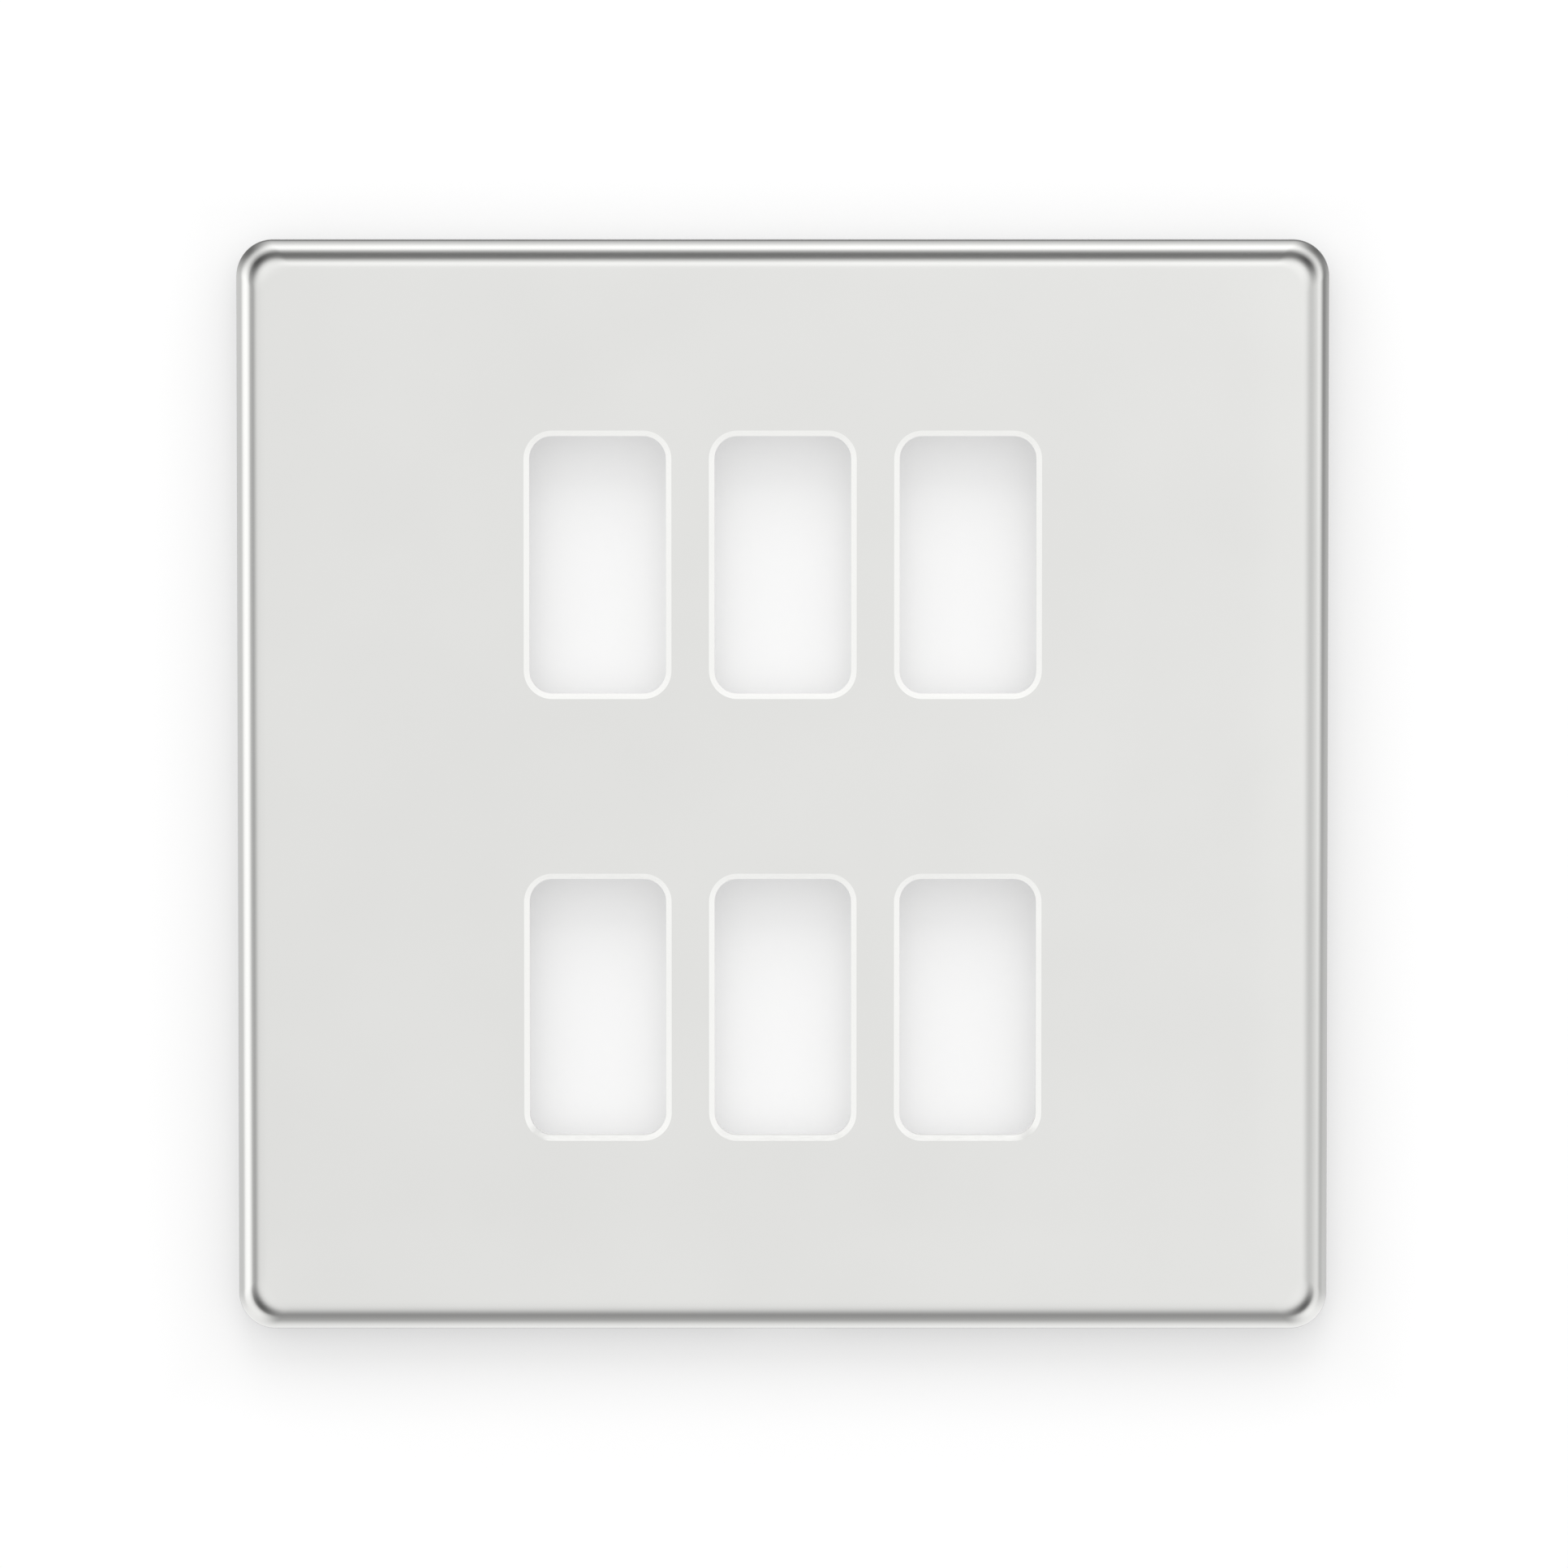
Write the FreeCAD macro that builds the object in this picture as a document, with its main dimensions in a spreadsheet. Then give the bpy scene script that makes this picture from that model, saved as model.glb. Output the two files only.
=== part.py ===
import FreeCAD, Part
import os
import re
import Sketcher
from FreeCAD import Placement, Rotation, Vector

# A clip-on grid switch plate with two rows of three windows, upright as on a wall.
# X runs to the right and Z runs up. The wall is the plane Y = 0 and the front faces minus Y.
# A depth is a distance out from the wall, so it is minus Y. Every size is in millimetres.

SIZES = (
    # Standard centres
    ("fixing_pitch", 120.6, "between the two fixing screws of one frame"),
    ("row_pitch", 60.3, "between the two rows of windows, frames and screws"),
    ("column_pitch", 25.2, "between neighbouring windows of a row"),
    # Front plate
    ("side_margin", 14.2, "from a fixing screw out to the plate's side edge"),
    ("end_margin", 44.35, "from a row's centre out to the plate's top or bottom edge"),
    ("plate_depth", 7.5, "from the wall to the plate's face"),
    ("plate_sheet", 1.0, "thickness of the pressed sheet"),
    ("plate_corner", 5.0, "outer corner seen from the front"),
    ("edge_roll", 4.2, "radius of the rolled-over edge"),
    ("window_width", 18.6, "clear width of a window in the sheet"),
    ("window_height", 35.0, "clear height of a window in the sheet"),
    ("window_corner", 3.1, "corner of a window in the sheet"),
    ("window_bevel", 0.75, "coined bevel around a window, across the face"),
    ("bevel_depth", 0.63, "coined bevel around a window, into the sheet"),
    ("notch_width", 12.0, "prising notch in the bottom edge"),
    ("notch_height", 1.8, "prising notch, out from the wall"),
    # Moulded carrier behind the plate
    ("carrier_gap", 0.15, "between the carrier's sides and the plate"),
    ("carrier_web", 1.5, "thickness of the web behind the plate"),
    ("carrier_wall", 1.6, "thickness of the surrounding wall"),
    ("carrier_lift", 0.6, "from the wall to the carrier's rear edge"),
    ("collar_back", 0.1, "how far a collar's bore stands back from the sheet's window"),
    ("collar_wall", 0.8, "thickness of a collar"),
    ("shroud_depth", 1.4, "reach of a collar behind the web"),
    ("stiffener_width", 1.4, "middle stiffening rib"),
    ("stiffener_lift", 1.0, "from the wall to the middle rib's foot"),
    ("rib_root", 0.3, "how far the middle rib runs into the web and the wall"),
    # Catch ribs and the spring clips that grip them
    ("rib_length", 5.4, "catch rib, across the plate"),
    ("rib_thickness", 1.6, "catch rib at its foot and stem"),
    ("rib_neck", 0.9, "catch rib where the clip pinches it"),
    ("rib_clear", 0.3, "from the clip's base to the rib's foot"),
    ("rib_lead", 0.25, "bevel at the rib's foot"),
    ("clip_strip", 0.4, "thickness of the spring strip"),
    ("clip_width", 6.0, "width of the spring strip"),
    ("clip_throat", 2.5, "between the legs at the base"),
    ("clip_mouth", 3.0, "between the flared lips"),
    ("clip_pinch", 0.05, "between a leg's waist and the rib's neck"),
    ("clip_headroom", 0.5, "from the lips to the carrier's web"),
    ("clip_knee", 0.25, "share of the leg's height where it turns in"),
    ("clip_waist", 0.55, "share of the leg's height where it pinches"),
    ("clip_side", 10.55, "from the outer seat's edge to the clip's centre"),
    ("clip_rise", 16.0, "from a row's centre to the clip's centre"),
    ("ear_length", 5.0, "riveted ear of a clip"),
    ("ear_width", 4.0, "riveted ear of a clip"),
    ("rivet_diameter", 1.8, "rivet shank"),
    ("rivet_gap", 0.03, "between a rivet and its hole"),
    ("rivet_head", 2.8, "rivet head across"),
    ("rivet_height", 0.8, "rivet head's height"),
    # Grid frames
    ("frame_sheet", 1.2, "thickness of a grid frame"),
    ("frame_gap", 7.3, "between the two frames"),
    ("frame_flange", 3.2, "turned edge, out from the wall"),
    ("frame_bend", 0.5, "inside radius of a bend"),
    ("bend_share", 0.7, "outside radius of a bend, as a share of the sheet and the inside radius"),
    ("frame_end", 5.5, "from the clip's centre to the end of the wide part"),
    ("lug_end", 6.2, "from a fixing screw to the lug's end"),
    ("lug_height", 34.0, "lug at each end"),
    ("lug_corner", 5.0, "corner of a lug"),
    ("seat_side", 1.45, "module seat beyond the window, each side"),
    ("seat_end", 2.5, "module seat beyond the window, top and bottom"),
    ("seat_corner", 1.0, "corner of a module seat"),
    ("latch_width", 6.0, "latch notch at the top and bottom of a seat"),
    ("latch_depth", 1.5, "latch notch beyond the seat"),
    # Fixing screws
    ("screw_diameter", 3.5, "fixing screw shank"),
    ("screw_gap", 0.3, "between the shank and its slot"),
    ("screw_travel", 2.4, "sideways adjustment of a fixing slot"),
    ("screw_length", 25.0, "under the head"),
    ("screw_neck", 2.9, "relieved neck under the head"),
    ("neck_past", 0.4, "neck behind the frame before the thread starts"),
    ("screw_point", 0.8, "bevel at the tip"),
    ("head_diameter", 6.8, "screw head across"),
    ("head_height", 2.2, "screw head's height"),
    ("head_round", 0.7, "bevel around the head"),
    ("driver_width", 1.0, "slot in the head"),
    ("driver_depth", 1.2, "slot in the head"),
    # Earth terminal on each frame
    ("tab_side", 10.05, "from the outer seat's edge to the tab's face"),
    ("tab_reach", 8.0, "tab behind the wall plane"),
    ("tab_width", 7.5, "tab across"),
    ("tab_corner", 1.5, "corner of the tab"),
    ("tab_hole", 4.4, "from the wall plane to the terminal screw"),
    ("tab_relief", 0.4, "relief slit beside the tab"),
    ("earth_diameter", 3.5, "terminal screw shank"),
    ("earth_gap", 0.05, "between the shank and the tapped hole"),
    ("earth_length", 8.0, "terminal screw under the head"),
    ("earth_head", 6.2, "terminal screw head across"),
    ("earth_height", 2.0, "terminal screw head's height"),
    ("clamp_sheet", 1.2, "thickness of the saddle clamp"),
    ("clamp_height", 6.6, "saddle clamp, front to back"),
    ("clamp_ear", 1.0, "ear of the clamp beside the tab"),
    ("clamp_gap", 0.15, "between the clamp and the tab or screw"),
    # Earth contact spring on each frame
    ("leaf_width", 4.0, "contact strip"),
    ("leaf_foot", 6.0, "riveted foot of the strip"),
    ("leaf_start", 9.0, "from a row's centre down to the end of the foot"),
    ("leaf_crest", 5.0, "from a row's centre up to the contact"),
    ("leaf_tip", 2.4, "turned-down tip beyond the contact"),
    ("leaf_dip", 1.3, "how far the tip turns down"),
    ("leaf_touch", 0.02, "between the contact and the plate's back"),
    ("leaf_room", 1.0, "between the strip and its slot in the carrier"),
)

# Sizes that follow from the ones above
PLATE_WIDTH = "(fixing_pitch + 2 * side_margin)"
PLATE_HEIGHT = "(row_pitch + 2 * end_margin)"
FACE_BACK = "(plate_depth - plate_sheet)"
WEB_BACK = f"({FACE_BACK} - carrier_web)"
SEAT_WIDTH = "(window_width + 2 * seat_side)"
SEAT_HEIGHT = "(window_height + 2 * seat_end)"
SEAT_EDGE = f"(column_pitch + {SEAT_WIDTH} / 2)"
FRAME_HEIGHT = "(row_pitch - frame_gap)"
CLIP_X = f"({SEAT_EDGE} + clip_side)"
CLIP_BASE = "(frame_sheet + clip_strip)"
CLIP_TIP = f"({WEB_BACK} - clip_headroom)"
CLIP_KNEE = f"({CLIP_BASE} + clip_knee * ({CLIP_TIP} - {CLIP_BASE}))"
CLIP_WAIST = f"({CLIP_BASE} + clip_waist * ({CLIP_TIP} - {CLIP_BASE}))"
RIB_FOOT = f"({CLIP_BASE} + rib_clear)"
RIB_RISE = f"({CLIP_WAIST} - {RIB_FOOT})"
RIVET_X = f"({CLIP_X} - clip_width / 2 - ear_length / 2)"
RIVET_HOLE = "(rivet_diameter + 2 * rivet_gap)"
LEAF_RIVET = "(leaf_start - leaf_foot / 2)"
TAB_FACE = f"({SEAT_EDGE} + tab_side)"

# Sketch planes: FRONT has X right, Z up and depth outward; SIDE has Y right, Z up and X outward;
# TOP has X right, Y up and Z outward.
FRONT = "XZ_Plane"
SIDE = "YZ_Plane"
TOP = "XY_Plane"

DOC = FreeCAD.newDocument("GridSwitchPlate")
SHEET = DOC.addObject("Spreadsheet::Sheet", "Sizes")
PIECES = {}


def fill_sheet():
    """One row for each driving size: its name, its value and what it sets."""
    for row, (name, value, note) in enumerate(SIZES, start=1):
        SHEET.set(f"A{row}", name)
        SHEET.set(f"B{row}", str(value))
        SHEET.setAlias(f"B{row}", name)
        SHEET.set(f"C{row}", note)
    DOC.recompute()


def tied(expression):
    """The expression with every size written as a cell of the sheet."""
    return re.sub(r"[a-z]\w*", lambda word: "Sizes." + word.group(), expression)


def size(expression):
    """The expression's value now."""
    return float(DOC.getObject("Sizes").evalExpression(re.sub(r"Sizes\.", "", expression)))


def new_body(node, row=0):
    """An empty body for one sub-part, raised or lowered to its row."""
    body = DOC.addObject("PartDesign::Body", "Body_" + node)
    body.Label = node
    body.AllowCompound = True
    body.setExpression("Placement.Base.z", tied(f"{row} * row_pitch / 2"))
    PIECES[node] = body
    return body


def origin(body, role):
    """A plane or axis of the body's own origin."""
    return [item for item in body.Origin.OriginFeatures if item.Role == role][0]


def sketch(body, name, plane, right="0", up="0", out="0"):
    """An empty sketch on an origin plane of the body, moved by the three distances."""
    made = body.newObject("Sketcher::SketchObject", name)
    made.AttachmentSupport = [(origin(body, plane), "")]
    made.MapMode = "FlatFace"
    for axis, expression in zip("xyz", (right, up, out)):
        made.setExpression("AttachmentOffset.Base." + axis, tied(expression))
    DOC.recompute()
    return made


def constrain(made, *terms):
    """A constraint with no size."""
    made.addConstraint(Sketcher.Constraint(*terms))


def dimension(made, kind, terms, expression):
    """A named constraint whose size follows the expression."""
    number = made.addConstraint(Sketcher.Constraint(kind, *terms, size(expression)))
    name = f"held_{number}"
    made.renameConstraint(number, name)
    made.setExpression("Constraints." + name, tied(expression))


def place(made, side, end, across, upward):
    """Holds a point by its distances from the sketch's origin."""
    for kind, axis, expression in (("DistanceX", -2, across), ("DistanceY", -1, upward)):
        if expression == "0":
            constrain(made, "PointOnObject", side, end, axis)
        else:
            dimension(made, kind, (-1, 1, side, end), expression)


def polygon(made, points, closed=True):
    """Straight sides through the points, each point held on its own."""
    spots = [Vector(size(across), size(upward), 0) for across, upward in points]
    ends = spots[1:] + spots[:1] if closed else spots[1:]
    for start, end in zip(spots, ends):
        made.addGeometry(Part.LineSegment(start, end), False)
    last = len(ends) - 1
    for side in range(last):
        constrain(made, "Coincident", side, 2, side + 1, 1)
    if closed:
        constrain(made, "Coincident", last, 2, 0, 1)
    for number, (across, upward) in enumerate(points):
        side, end = (number, 1) if number <= last else (last, 2)
        place(made, side, end, across, upward)
    DOC.recompute()


def rectangle(made, left, right, bottom, top):
    """A rectangle with sharp corners."""
    polygon(made, [(left, bottom), (right, bottom), (right, top), (left, top)])


def rounded_rectangle(made, width, height, radius):
    """A rectangle with round corners about the sketch's origin."""
    wide, tall, turn = size(width) / 2, size(height) / 2, size(radius)
    across, upward = wide - turn, tall - turn
    lines = (
        ((-across, -tall), (across, -tall)),
        ((wide, -upward), (wide, upward)),
        ((across, tall), (-across, tall)),
        ((-wide, upward), (-wide, -upward)),
    )
    centres = ((across, -upward), (across, upward), (-across, upward), (-across, -upward))
    quarter = 1.5707963267948966
    for number, (line, centre) in enumerate(zip(lines, centres)):
        made.addGeometry(Part.LineSegment(Vector(*line[0], 0), Vector(*line[1], 0)), False)
        circle = Part.Circle(Vector(*centre, 0), Vector(0, 0, 1), turn)
        made.addGeometry(Part.ArcOfCircle(circle, (number - 1) * quarter, number * quarter), False)
    for number in range(4):
        constrain(made, "Tangent", 2 * number, 2, 2 * number + 1, 1)
        constrain(made, "Tangent", 2 * number + 1, 2, (2 * number + 2) % 8, 1)
        constrain(made, "Vertical" if number % 2 else "Horizontal", 2 * number)
    for arc in (3, 5, 7):
        constrain(made, "Equal", 1, arc)
    dimension(made, "Radius", (1,), radius)
    dimension(made, "DistanceX", (-1, 1, 2, 1), f"{width} / 2")
    dimension(made, "DistanceX", (-1, 1, 6, 1), f"-{width} / 2")
    dimension(made, "DistanceY", (-1, 1, 4, 1), f"{height} / 2")
    dimension(made, "DistanceY", (-1, 1, 0, 1), f"-{height} / 2")
    DOC.recompute()


def round_slot(made, travel, width):
    """A slot with round ends along the sketch's own X."""
    half, turn = size(travel) / 2, size(width) / 2
    quarter = 1.5707963267948966
    right = Part.Circle(Vector(half, 0, 0), Vector(0, 0, 1), turn)
    left = Part.Circle(Vector(-half, 0, 0), Vector(0, 0, 1), turn)
    made.addGeometry(Part.LineSegment(Vector(-half, -turn, 0), Vector(half, -turn, 0)), False)
    made.addGeometry(Part.ArcOfCircle(right, -quarter, quarter), False)
    made.addGeometry(Part.LineSegment(Vector(half, turn, 0), Vector(-half, turn, 0)), False)
    made.addGeometry(Part.ArcOfCircle(left, quarter, 3 * quarter), False)
    for number in range(4):
        constrain(made, "Tangent", number, 2, (number + 1) % 4, 1)
    constrain(made, "Horizontal", 0)
    constrain(made, "Equal", 1, 3)
    constrain(made, "PointOnObject", 1, 3, -1)
    dimension(made, "Radius", (1,), f"{width} / 2")
    dimension(made, "DistanceX", (-1, 1, 1, 3), f"{travel} / 2")
    dimension(made, "DistanceX", (-1, 1, 3, 3), f"-{travel} / 2")
    DOC.recompute()


def round_hole(made, diameter):
    """A circle about the sketch's origin."""
    made.addGeometry(Part.Circle(Vector(), Vector(0, 0, 1), size(diameter) / 2), False)
    constrain(made, "Coincident", 0, 3, -1, 1)
    dimension(made, "Diameter", (0,), diameter)
    DOC.recompute()


def pad(body, name, profile, length, backward=False, both=False):
    """Material along the sketch's normal, or against it, or half each way."""
    made = body.newObject("PartDesign::Pad", name)
    made.Profile = profile
    made.Reversed = backward
    made.Midplane = both
    made.setExpression("Length", tied(length))
    DOC.recompute()
    return made


def pocket(body, name, profile, length=None, forward=True):
    """A cut along the sketch's normal, or against it; right through if no length is given."""
    before = body.Tip.Shape.Volume
    made = body.newObject("PartDesign::Pocket", name)
    made.Profile = profile
    made.Reversed = forward
    if length is None:
        made.Type = "ThroughAll"
        made.Midplane = True
    else:
        made.setExpression("Length", tied(length))
    DOC.recompute()
    if made.Shape.Volume >= before - 0.0001:
        raise RuntimeError(f"{name} cuts nothing")
    return made


def turned(body, name, profile, axis):
    """A solid of revolution about an axis of its sketch."""
    made = body.newObject("PartDesign::Revolution", name)
    made.Profile = profile
    made.ReferenceAxis = (profile, [axis])
    made.Angle = 360
    DOC.recompute()
    return made


def repeated(body, name, originals, *steps):
    """Copies of features in rows: each step is an axis, the whole length and a count."""
    made = body.newObject("PartDesign::MultiTransform", name)
    made.Originals = originals
    rows = []
    for number, (axis, length, count) in enumerate(steps):
        row = body.newObject("PartDesign::LinearPattern", f"{name}Row{number}")
        row.Direction = (origin(body, axis), [""])
        row.setExpression("Length", tied(length))
        row.Occurrences = count
        rows.append(row)
    made.Transformations = rows
    body.Tip = made
    DOC.recompute()
    return made


def edges_where(feature, wanted):
    """Names of the feature's edges whose bounding box passes the test."""
    found = [n for n, edge in enumerate(feature.Shape.Edges, start=1) if wanted(edge.BoundBox)]
    if not found:
        raise RuntimeError(f"no edge found on {feature.Name}")
    return [f"Edge{number}" for number in found]


def near(value, expression):
    """Whether a coordinate is the expression's value."""
    return abs(value - size(expression)) < 0.0005


def at_depth(box, depth):
    """Whether an edge lies flat at a depth from the wall."""
    return near(-box.YMin, depth) and near(-box.YMax, depth)


def rounded(body, name, feature, edges, radius):
    """Round edges."""
    made = body.newObject("PartDesign::Fillet", name)
    made.Base = (feature, edges)
    made.setExpression("Radius", tied(radius))
    DOC.recompute()
    return made


def bevelled(body, name, feature, edges, width, depth=None):
    """Edges bevelled at 45 degrees, or by a width across the face and a depth into it."""
    made = body.newObject("PartDesign::Chamfer", name)
    made.Base = (feature, edges)
    made.setExpression("Size", tied(width))
    if depth:
        made.ChamferType = "Two distances"
        made.setExpression("Size2", tied(depth))
    DOC.recompute()
    return made


def hollowed(body, name, feature, wall):
    """A shell of even thickness, open at the wall."""
    faces = enumerate(feature.Shape.Faces, start=1)
    rear = [f"Face{number}" for number, face in faces if at_depth(face.BoundBox, "0")]
    before = feature.Shape.Volume
    made = body.newObject("PartDesign::Thickness", name)
    made.Base = (feature, rear)
    made.Mode = "Skin"
    made.Join = "Arc"
    made.Reversed = True
    made.setExpression("Value", tied(wall))
    DOC.recompute()
    if made.Shape.Volume >= before / 2:
        raise RuntimeError(f"{name} is not hollow")
    return made


def window_sketch(body, name, inset, out="0"):
    """The bottom left window's outline, drawn in by an inset all round."""
    made = sketch(body, name, FRONT, "-column_pitch", "-row_pitch / 2", out)
    width, height = f"(window_width - 2 * {inset})", f"(window_height - 2 * {inset})"
    rounded_rectangle(made, width, height, f"(window_corner - {inset})")
    return made


def all_windows(body, name, feature):
    """Repeats a window's feature over the six windows."""
    across, upward = ("X_Axis", "2 * column_pitch", 3), ("Z_Axis", "row_pitch", 2)
    return repeated(body, name, [feature], across, upward)


def front_plate():
    """One pressed sheet: a flat face with six bevelled windows and a rolled edge back to the wall."""
    body = new_body("front_plate")
    outline = sketch(body, "PlateOutline", FRONT)
    rounded_rectangle(outline, PLATE_WIDTH, PLATE_HEIGHT, "plate_corner")
    blank = pad(body, "PlateBlank", outline, "plate_depth")
    front = edges_where(blank, lambda box: at_depth(box, "plate_depth"))
    rolled = rounded(body, "PlateRoll", blank, front, "edge_roll")
    hollowed(body, "PlateHollow", rolled, "plate_sheet")
    window = pocket(body, "PlateWindow", window_sketch(body, "PlateWindowOutline", "0"))
    windows = all_windows(body, "PlateWindows", window)
    plate_windows_bevel(body, windows)
    prising_notch(body)


def plate_windows_bevel(body, windows):
    """The coined bevel around the front of each window."""
    reach = size("column_pitch + window_width / 2") + 0.001

    def at_window(box):
        return at_depth(box, "plate_depth") and max(abs(box.XMin), abs(box.XMax)) < reach

    rims = edges_where(windows, at_window)
    made = bevelled(body, "WindowBevels", windows, rims, "window_bevel", "bevel_depth")
    feet = edges_where(made, lambda box: at_depth(box, "(plate_depth - bevel_depth)"))
    if len(feet) != len(rims):
        raise RuntimeError("a window bevel lies the wrong way round")


def prising_notch(body):
    """A notch in the rear of the bottom edge, for lifting the plate off its clips."""
    notch = sketch(body, "NotchOutline", FRONT, "0", f"-{PLATE_HEIGHT} / 2")
    past_sheet = "(plate_sheet + carrier_gap / 2)"
    rectangle(notch, "-notch_width / 2", "notch_width / 2", "-plate_sheet", past_sheet)
    pocket(body, "PrisingNotch", notch, "notch_height")


def clip_carrier():
    """The moulded tray bonded behind the plate, with window collars and catch ribs."""
    body = new_body("clip_carrier")
    outline = sketch(body, "CarrierOutline", FRONT, out="carrier_lift")
    inset = "(plate_sheet + carrier_gap)"
    width, height = f"({PLATE_WIDTH} - 2 * {inset})", f"({PLATE_HEIGHT} - 2 * {inset})"
    rounded_rectangle(outline, width, height, f"(plate_corner - {inset})")
    blank = pad(body, "CarrierBlank", outline, f"({FACE_BACK} - carrier_lift)")
    front = edges_where(blank, lambda box: at_depth(box, FACE_BACK))
    rounded(body, "CarrierRoll", blank, front, "(edge_roll - plate_sheet)")
    inner = sketch(body, "TrayOutline", FRONT, out="carrier_lift")
    inset = "(plate_sheet + carrier_gap + carrier_wall)"
    width, height = f"({PLATE_WIDTH} - 2 * {inset})", f"({PLATE_HEIGHT} - 2 * {inset})"
    rounded_rectangle(inner, width, height, f"(plate_corner - {inset})")
    pocket(body, "CarrierTray", inner, f"({WEB_BACK} - carrier_lift)")
    contact_slots(body)
    carrier_stiffener(body)
    carrier_collars(body)
    catch_ribs(body)


def carrier_collars(body):
    """A collar behind each window of the sheet, a little wider than the window and open right through."""
    rear = f"({WEB_BACK} - shroud_depth)"
    outer = window_sketch(body, "CollarOutline", "(-collar_back - collar_wall)", rear)
    collar = pad(body, "Collar", outer, "(carrier_web + shroud_depth)")
    all_windows(body, "Collars", collar)
    inner = window_sketch(body, "CollarBore", "(-collar_back)")
    bore = pocket(body, "CarrierWindow", inner)
    all_windows(body, "CarrierWindows", bore)


def catch_ribs(body):
    """Necked ribs behind the web that snap into the spring clips."""
    start = f"(-{CLIP_X} - rib_length / 2)"
    profile = sketch(body, "RibProfile", SIDE, "0", "(-row_pitch / 2 - clip_rise)", start)
    levels = (
        (f"({WEB_BACK} + carrier_web / 2)", "rib_thickness / 2"),
        (f"({CLIP_WAIST} + {RIB_RISE} * 0.5)", "rib_thickness / 2"),
        (f"({CLIP_WAIST} + {RIB_RISE} * 0.2)", "rib_neck / 2"),
        (f"({CLIP_WAIST} - {RIB_RISE} * 0.2)", "rib_neck / 2"),
        (f"({CLIP_WAIST} - {RIB_RISE} * 0.5)", "rib_thickness / 2"),
        (f"({RIB_FOOT} + rib_lead)", "rib_thickness / 2"),
        (RIB_FOOT, "(rib_thickness / 2 - rib_lead)"),
    )
    upper = [(f"-{depth}", half) for depth, half in levels]
    lower = [(f"-{depth}", f"-{half}") for depth, half in reversed(levels)]
    polygon(profile, upper + lower)
    rib = pad(body, "CatchRib", profile, "rib_length")
    sides = ("X_Axis", f"2 * {CLIP_X}", 2)
    repeated(body, "CatchRibs", [rib], sides, ("Z_Axis", "2 * clip_rise", 2), ("Z_Axis", "row_pitch", 2))


def carrier_stiffener(body):
    """The middle rib between the two frames."""
    half = f"({PLATE_WIDTH} / 2 - plate_sheet - carrier_gap - carrier_wall + rib_root)"
    rib = sketch(body, "StiffenerOutline", FRONT, out="stiffener_lift")
    rectangle(rib, f"-{half}", half, "-stiffener_width / 2", "stiffener_width / 2")
    pad(body, "Stiffener", rib, f"({WEB_BACK} + rib_root - stiffener_lift)")


def contact_slots(body):
    """Slots in the web for the two earth contact strips."""
    slot = sketch(body, "ContactSlotOutline", FRONT, f"-{CLIP_X}", "-row_pitch / 2")
    half = "(leaf_width / 2 + leaf_room)"
    rectangle(slot, f"-{half}", half, "leaf_room", "(leaf_crest + leaf_tip + leaf_room)")
    cut = pocket(body, "ContactSlot", slot)
    repeated(body, "ContactSlots", [cut], ("Z_Axis", "row_pitch", 2))


def grid_frame(node, row):
    """A steel frame with three module seats, two screw lugs, turned edges and an earth tab."""
    body = new_body(node, row)
    half = f"({CLIP_X} + frame_end)"
    middle = sketch(body, node + "_Middle", FRONT)
    rectangle(middle, f"-{half}", half, f"-{FRAME_HEIGHT} / 2", f"{FRAME_HEIGHT} / 2")
    pad(body, node + "_Sheet", middle, "frame_sheet")
    lugs = sketch(body, node + "_LugOutline", FRONT)
    rounded_rectangle(lugs, "(fixing_pitch + 2 * lug_end)", "lug_height", "lug_corner")
    pad(body, node + "_Lugs", lugs, "frame_sheet")
    earth_tab(body, node)
    frame_flanges(body, node, half)
    fixing_slots(body, node)
    frame_rivet_holes(body, node)
    module_seats(body, node)


def frame_flanges(body, node, half):
    """The long edges turned forward."""
    edge = sketch(body, node + "_FlangeOutline", FRONT)
    rectangle(edge, f"-{half}", half, f"-{FRAME_HEIGHT} / 2", f"(-{FRAME_HEIGHT} / 2 + frame_sheet)")
    flange = pad(body, node + "_Flange", edge, "frame_flange")
    both = repeated(body, node + "_Flanges", [flange], ("Z_Axis", f"({FRAME_HEIGHT} - frame_sheet)", 2))

    def outer(box):
        along = box.XMax - box.XMin > size(half)
        at_edge = near(max(abs(box.ZMin), abs(box.ZMax)), f"{FRAME_HEIGHT} / 2")
        return along and at_depth(box, "0") and at_edge

    outside = "bend_share * (frame_sheet + frame_bend)"
    bent = rounded(body, node + "_OuterBend", both, edges_where(both, outer), outside)

    def inner(box):
        along = box.XMax - box.XMin > size(half)
        at_foot = near(max(abs(box.ZMin), abs(box.ZMax)), f"({FRAME_HEIGHT} / 2 - frame_sheet)")
        return along and at_depth(box, "frame_sheet") and at_foot

    rounded(body, node + "_InnerBend", bent, edges_where(bent, inner), "frame_bend")


def module_seats(body, node):
    """Three openings for grid modules, with a latch notch at the top and bottom."""
    seat = sketch(body, node + "_SeatOutline", FRONT, "-column_pitch")
    rounded_rectangle(seat, SEAT_WIDTH, SEAT_HEIGHT, "seat_corner")
    opening = pocket(body, node + "_Seat", seat)
    notch = sketch(body, node + "_LatchOutline", FRONT, "-column_pitch")
    tall = f"({SEAT_HEIGHT} / 2 + latch_depth)"
    rectangle(notch, "-latch_width / 2", "latch_width / 2", f"-{tall}", tall)
    latch = pocket(body, node + "_Latch", notch)
    repeated(body, node + "_Seats", [opening, latch], ("X_Axis", "2 * column_pitch", 3))


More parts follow.
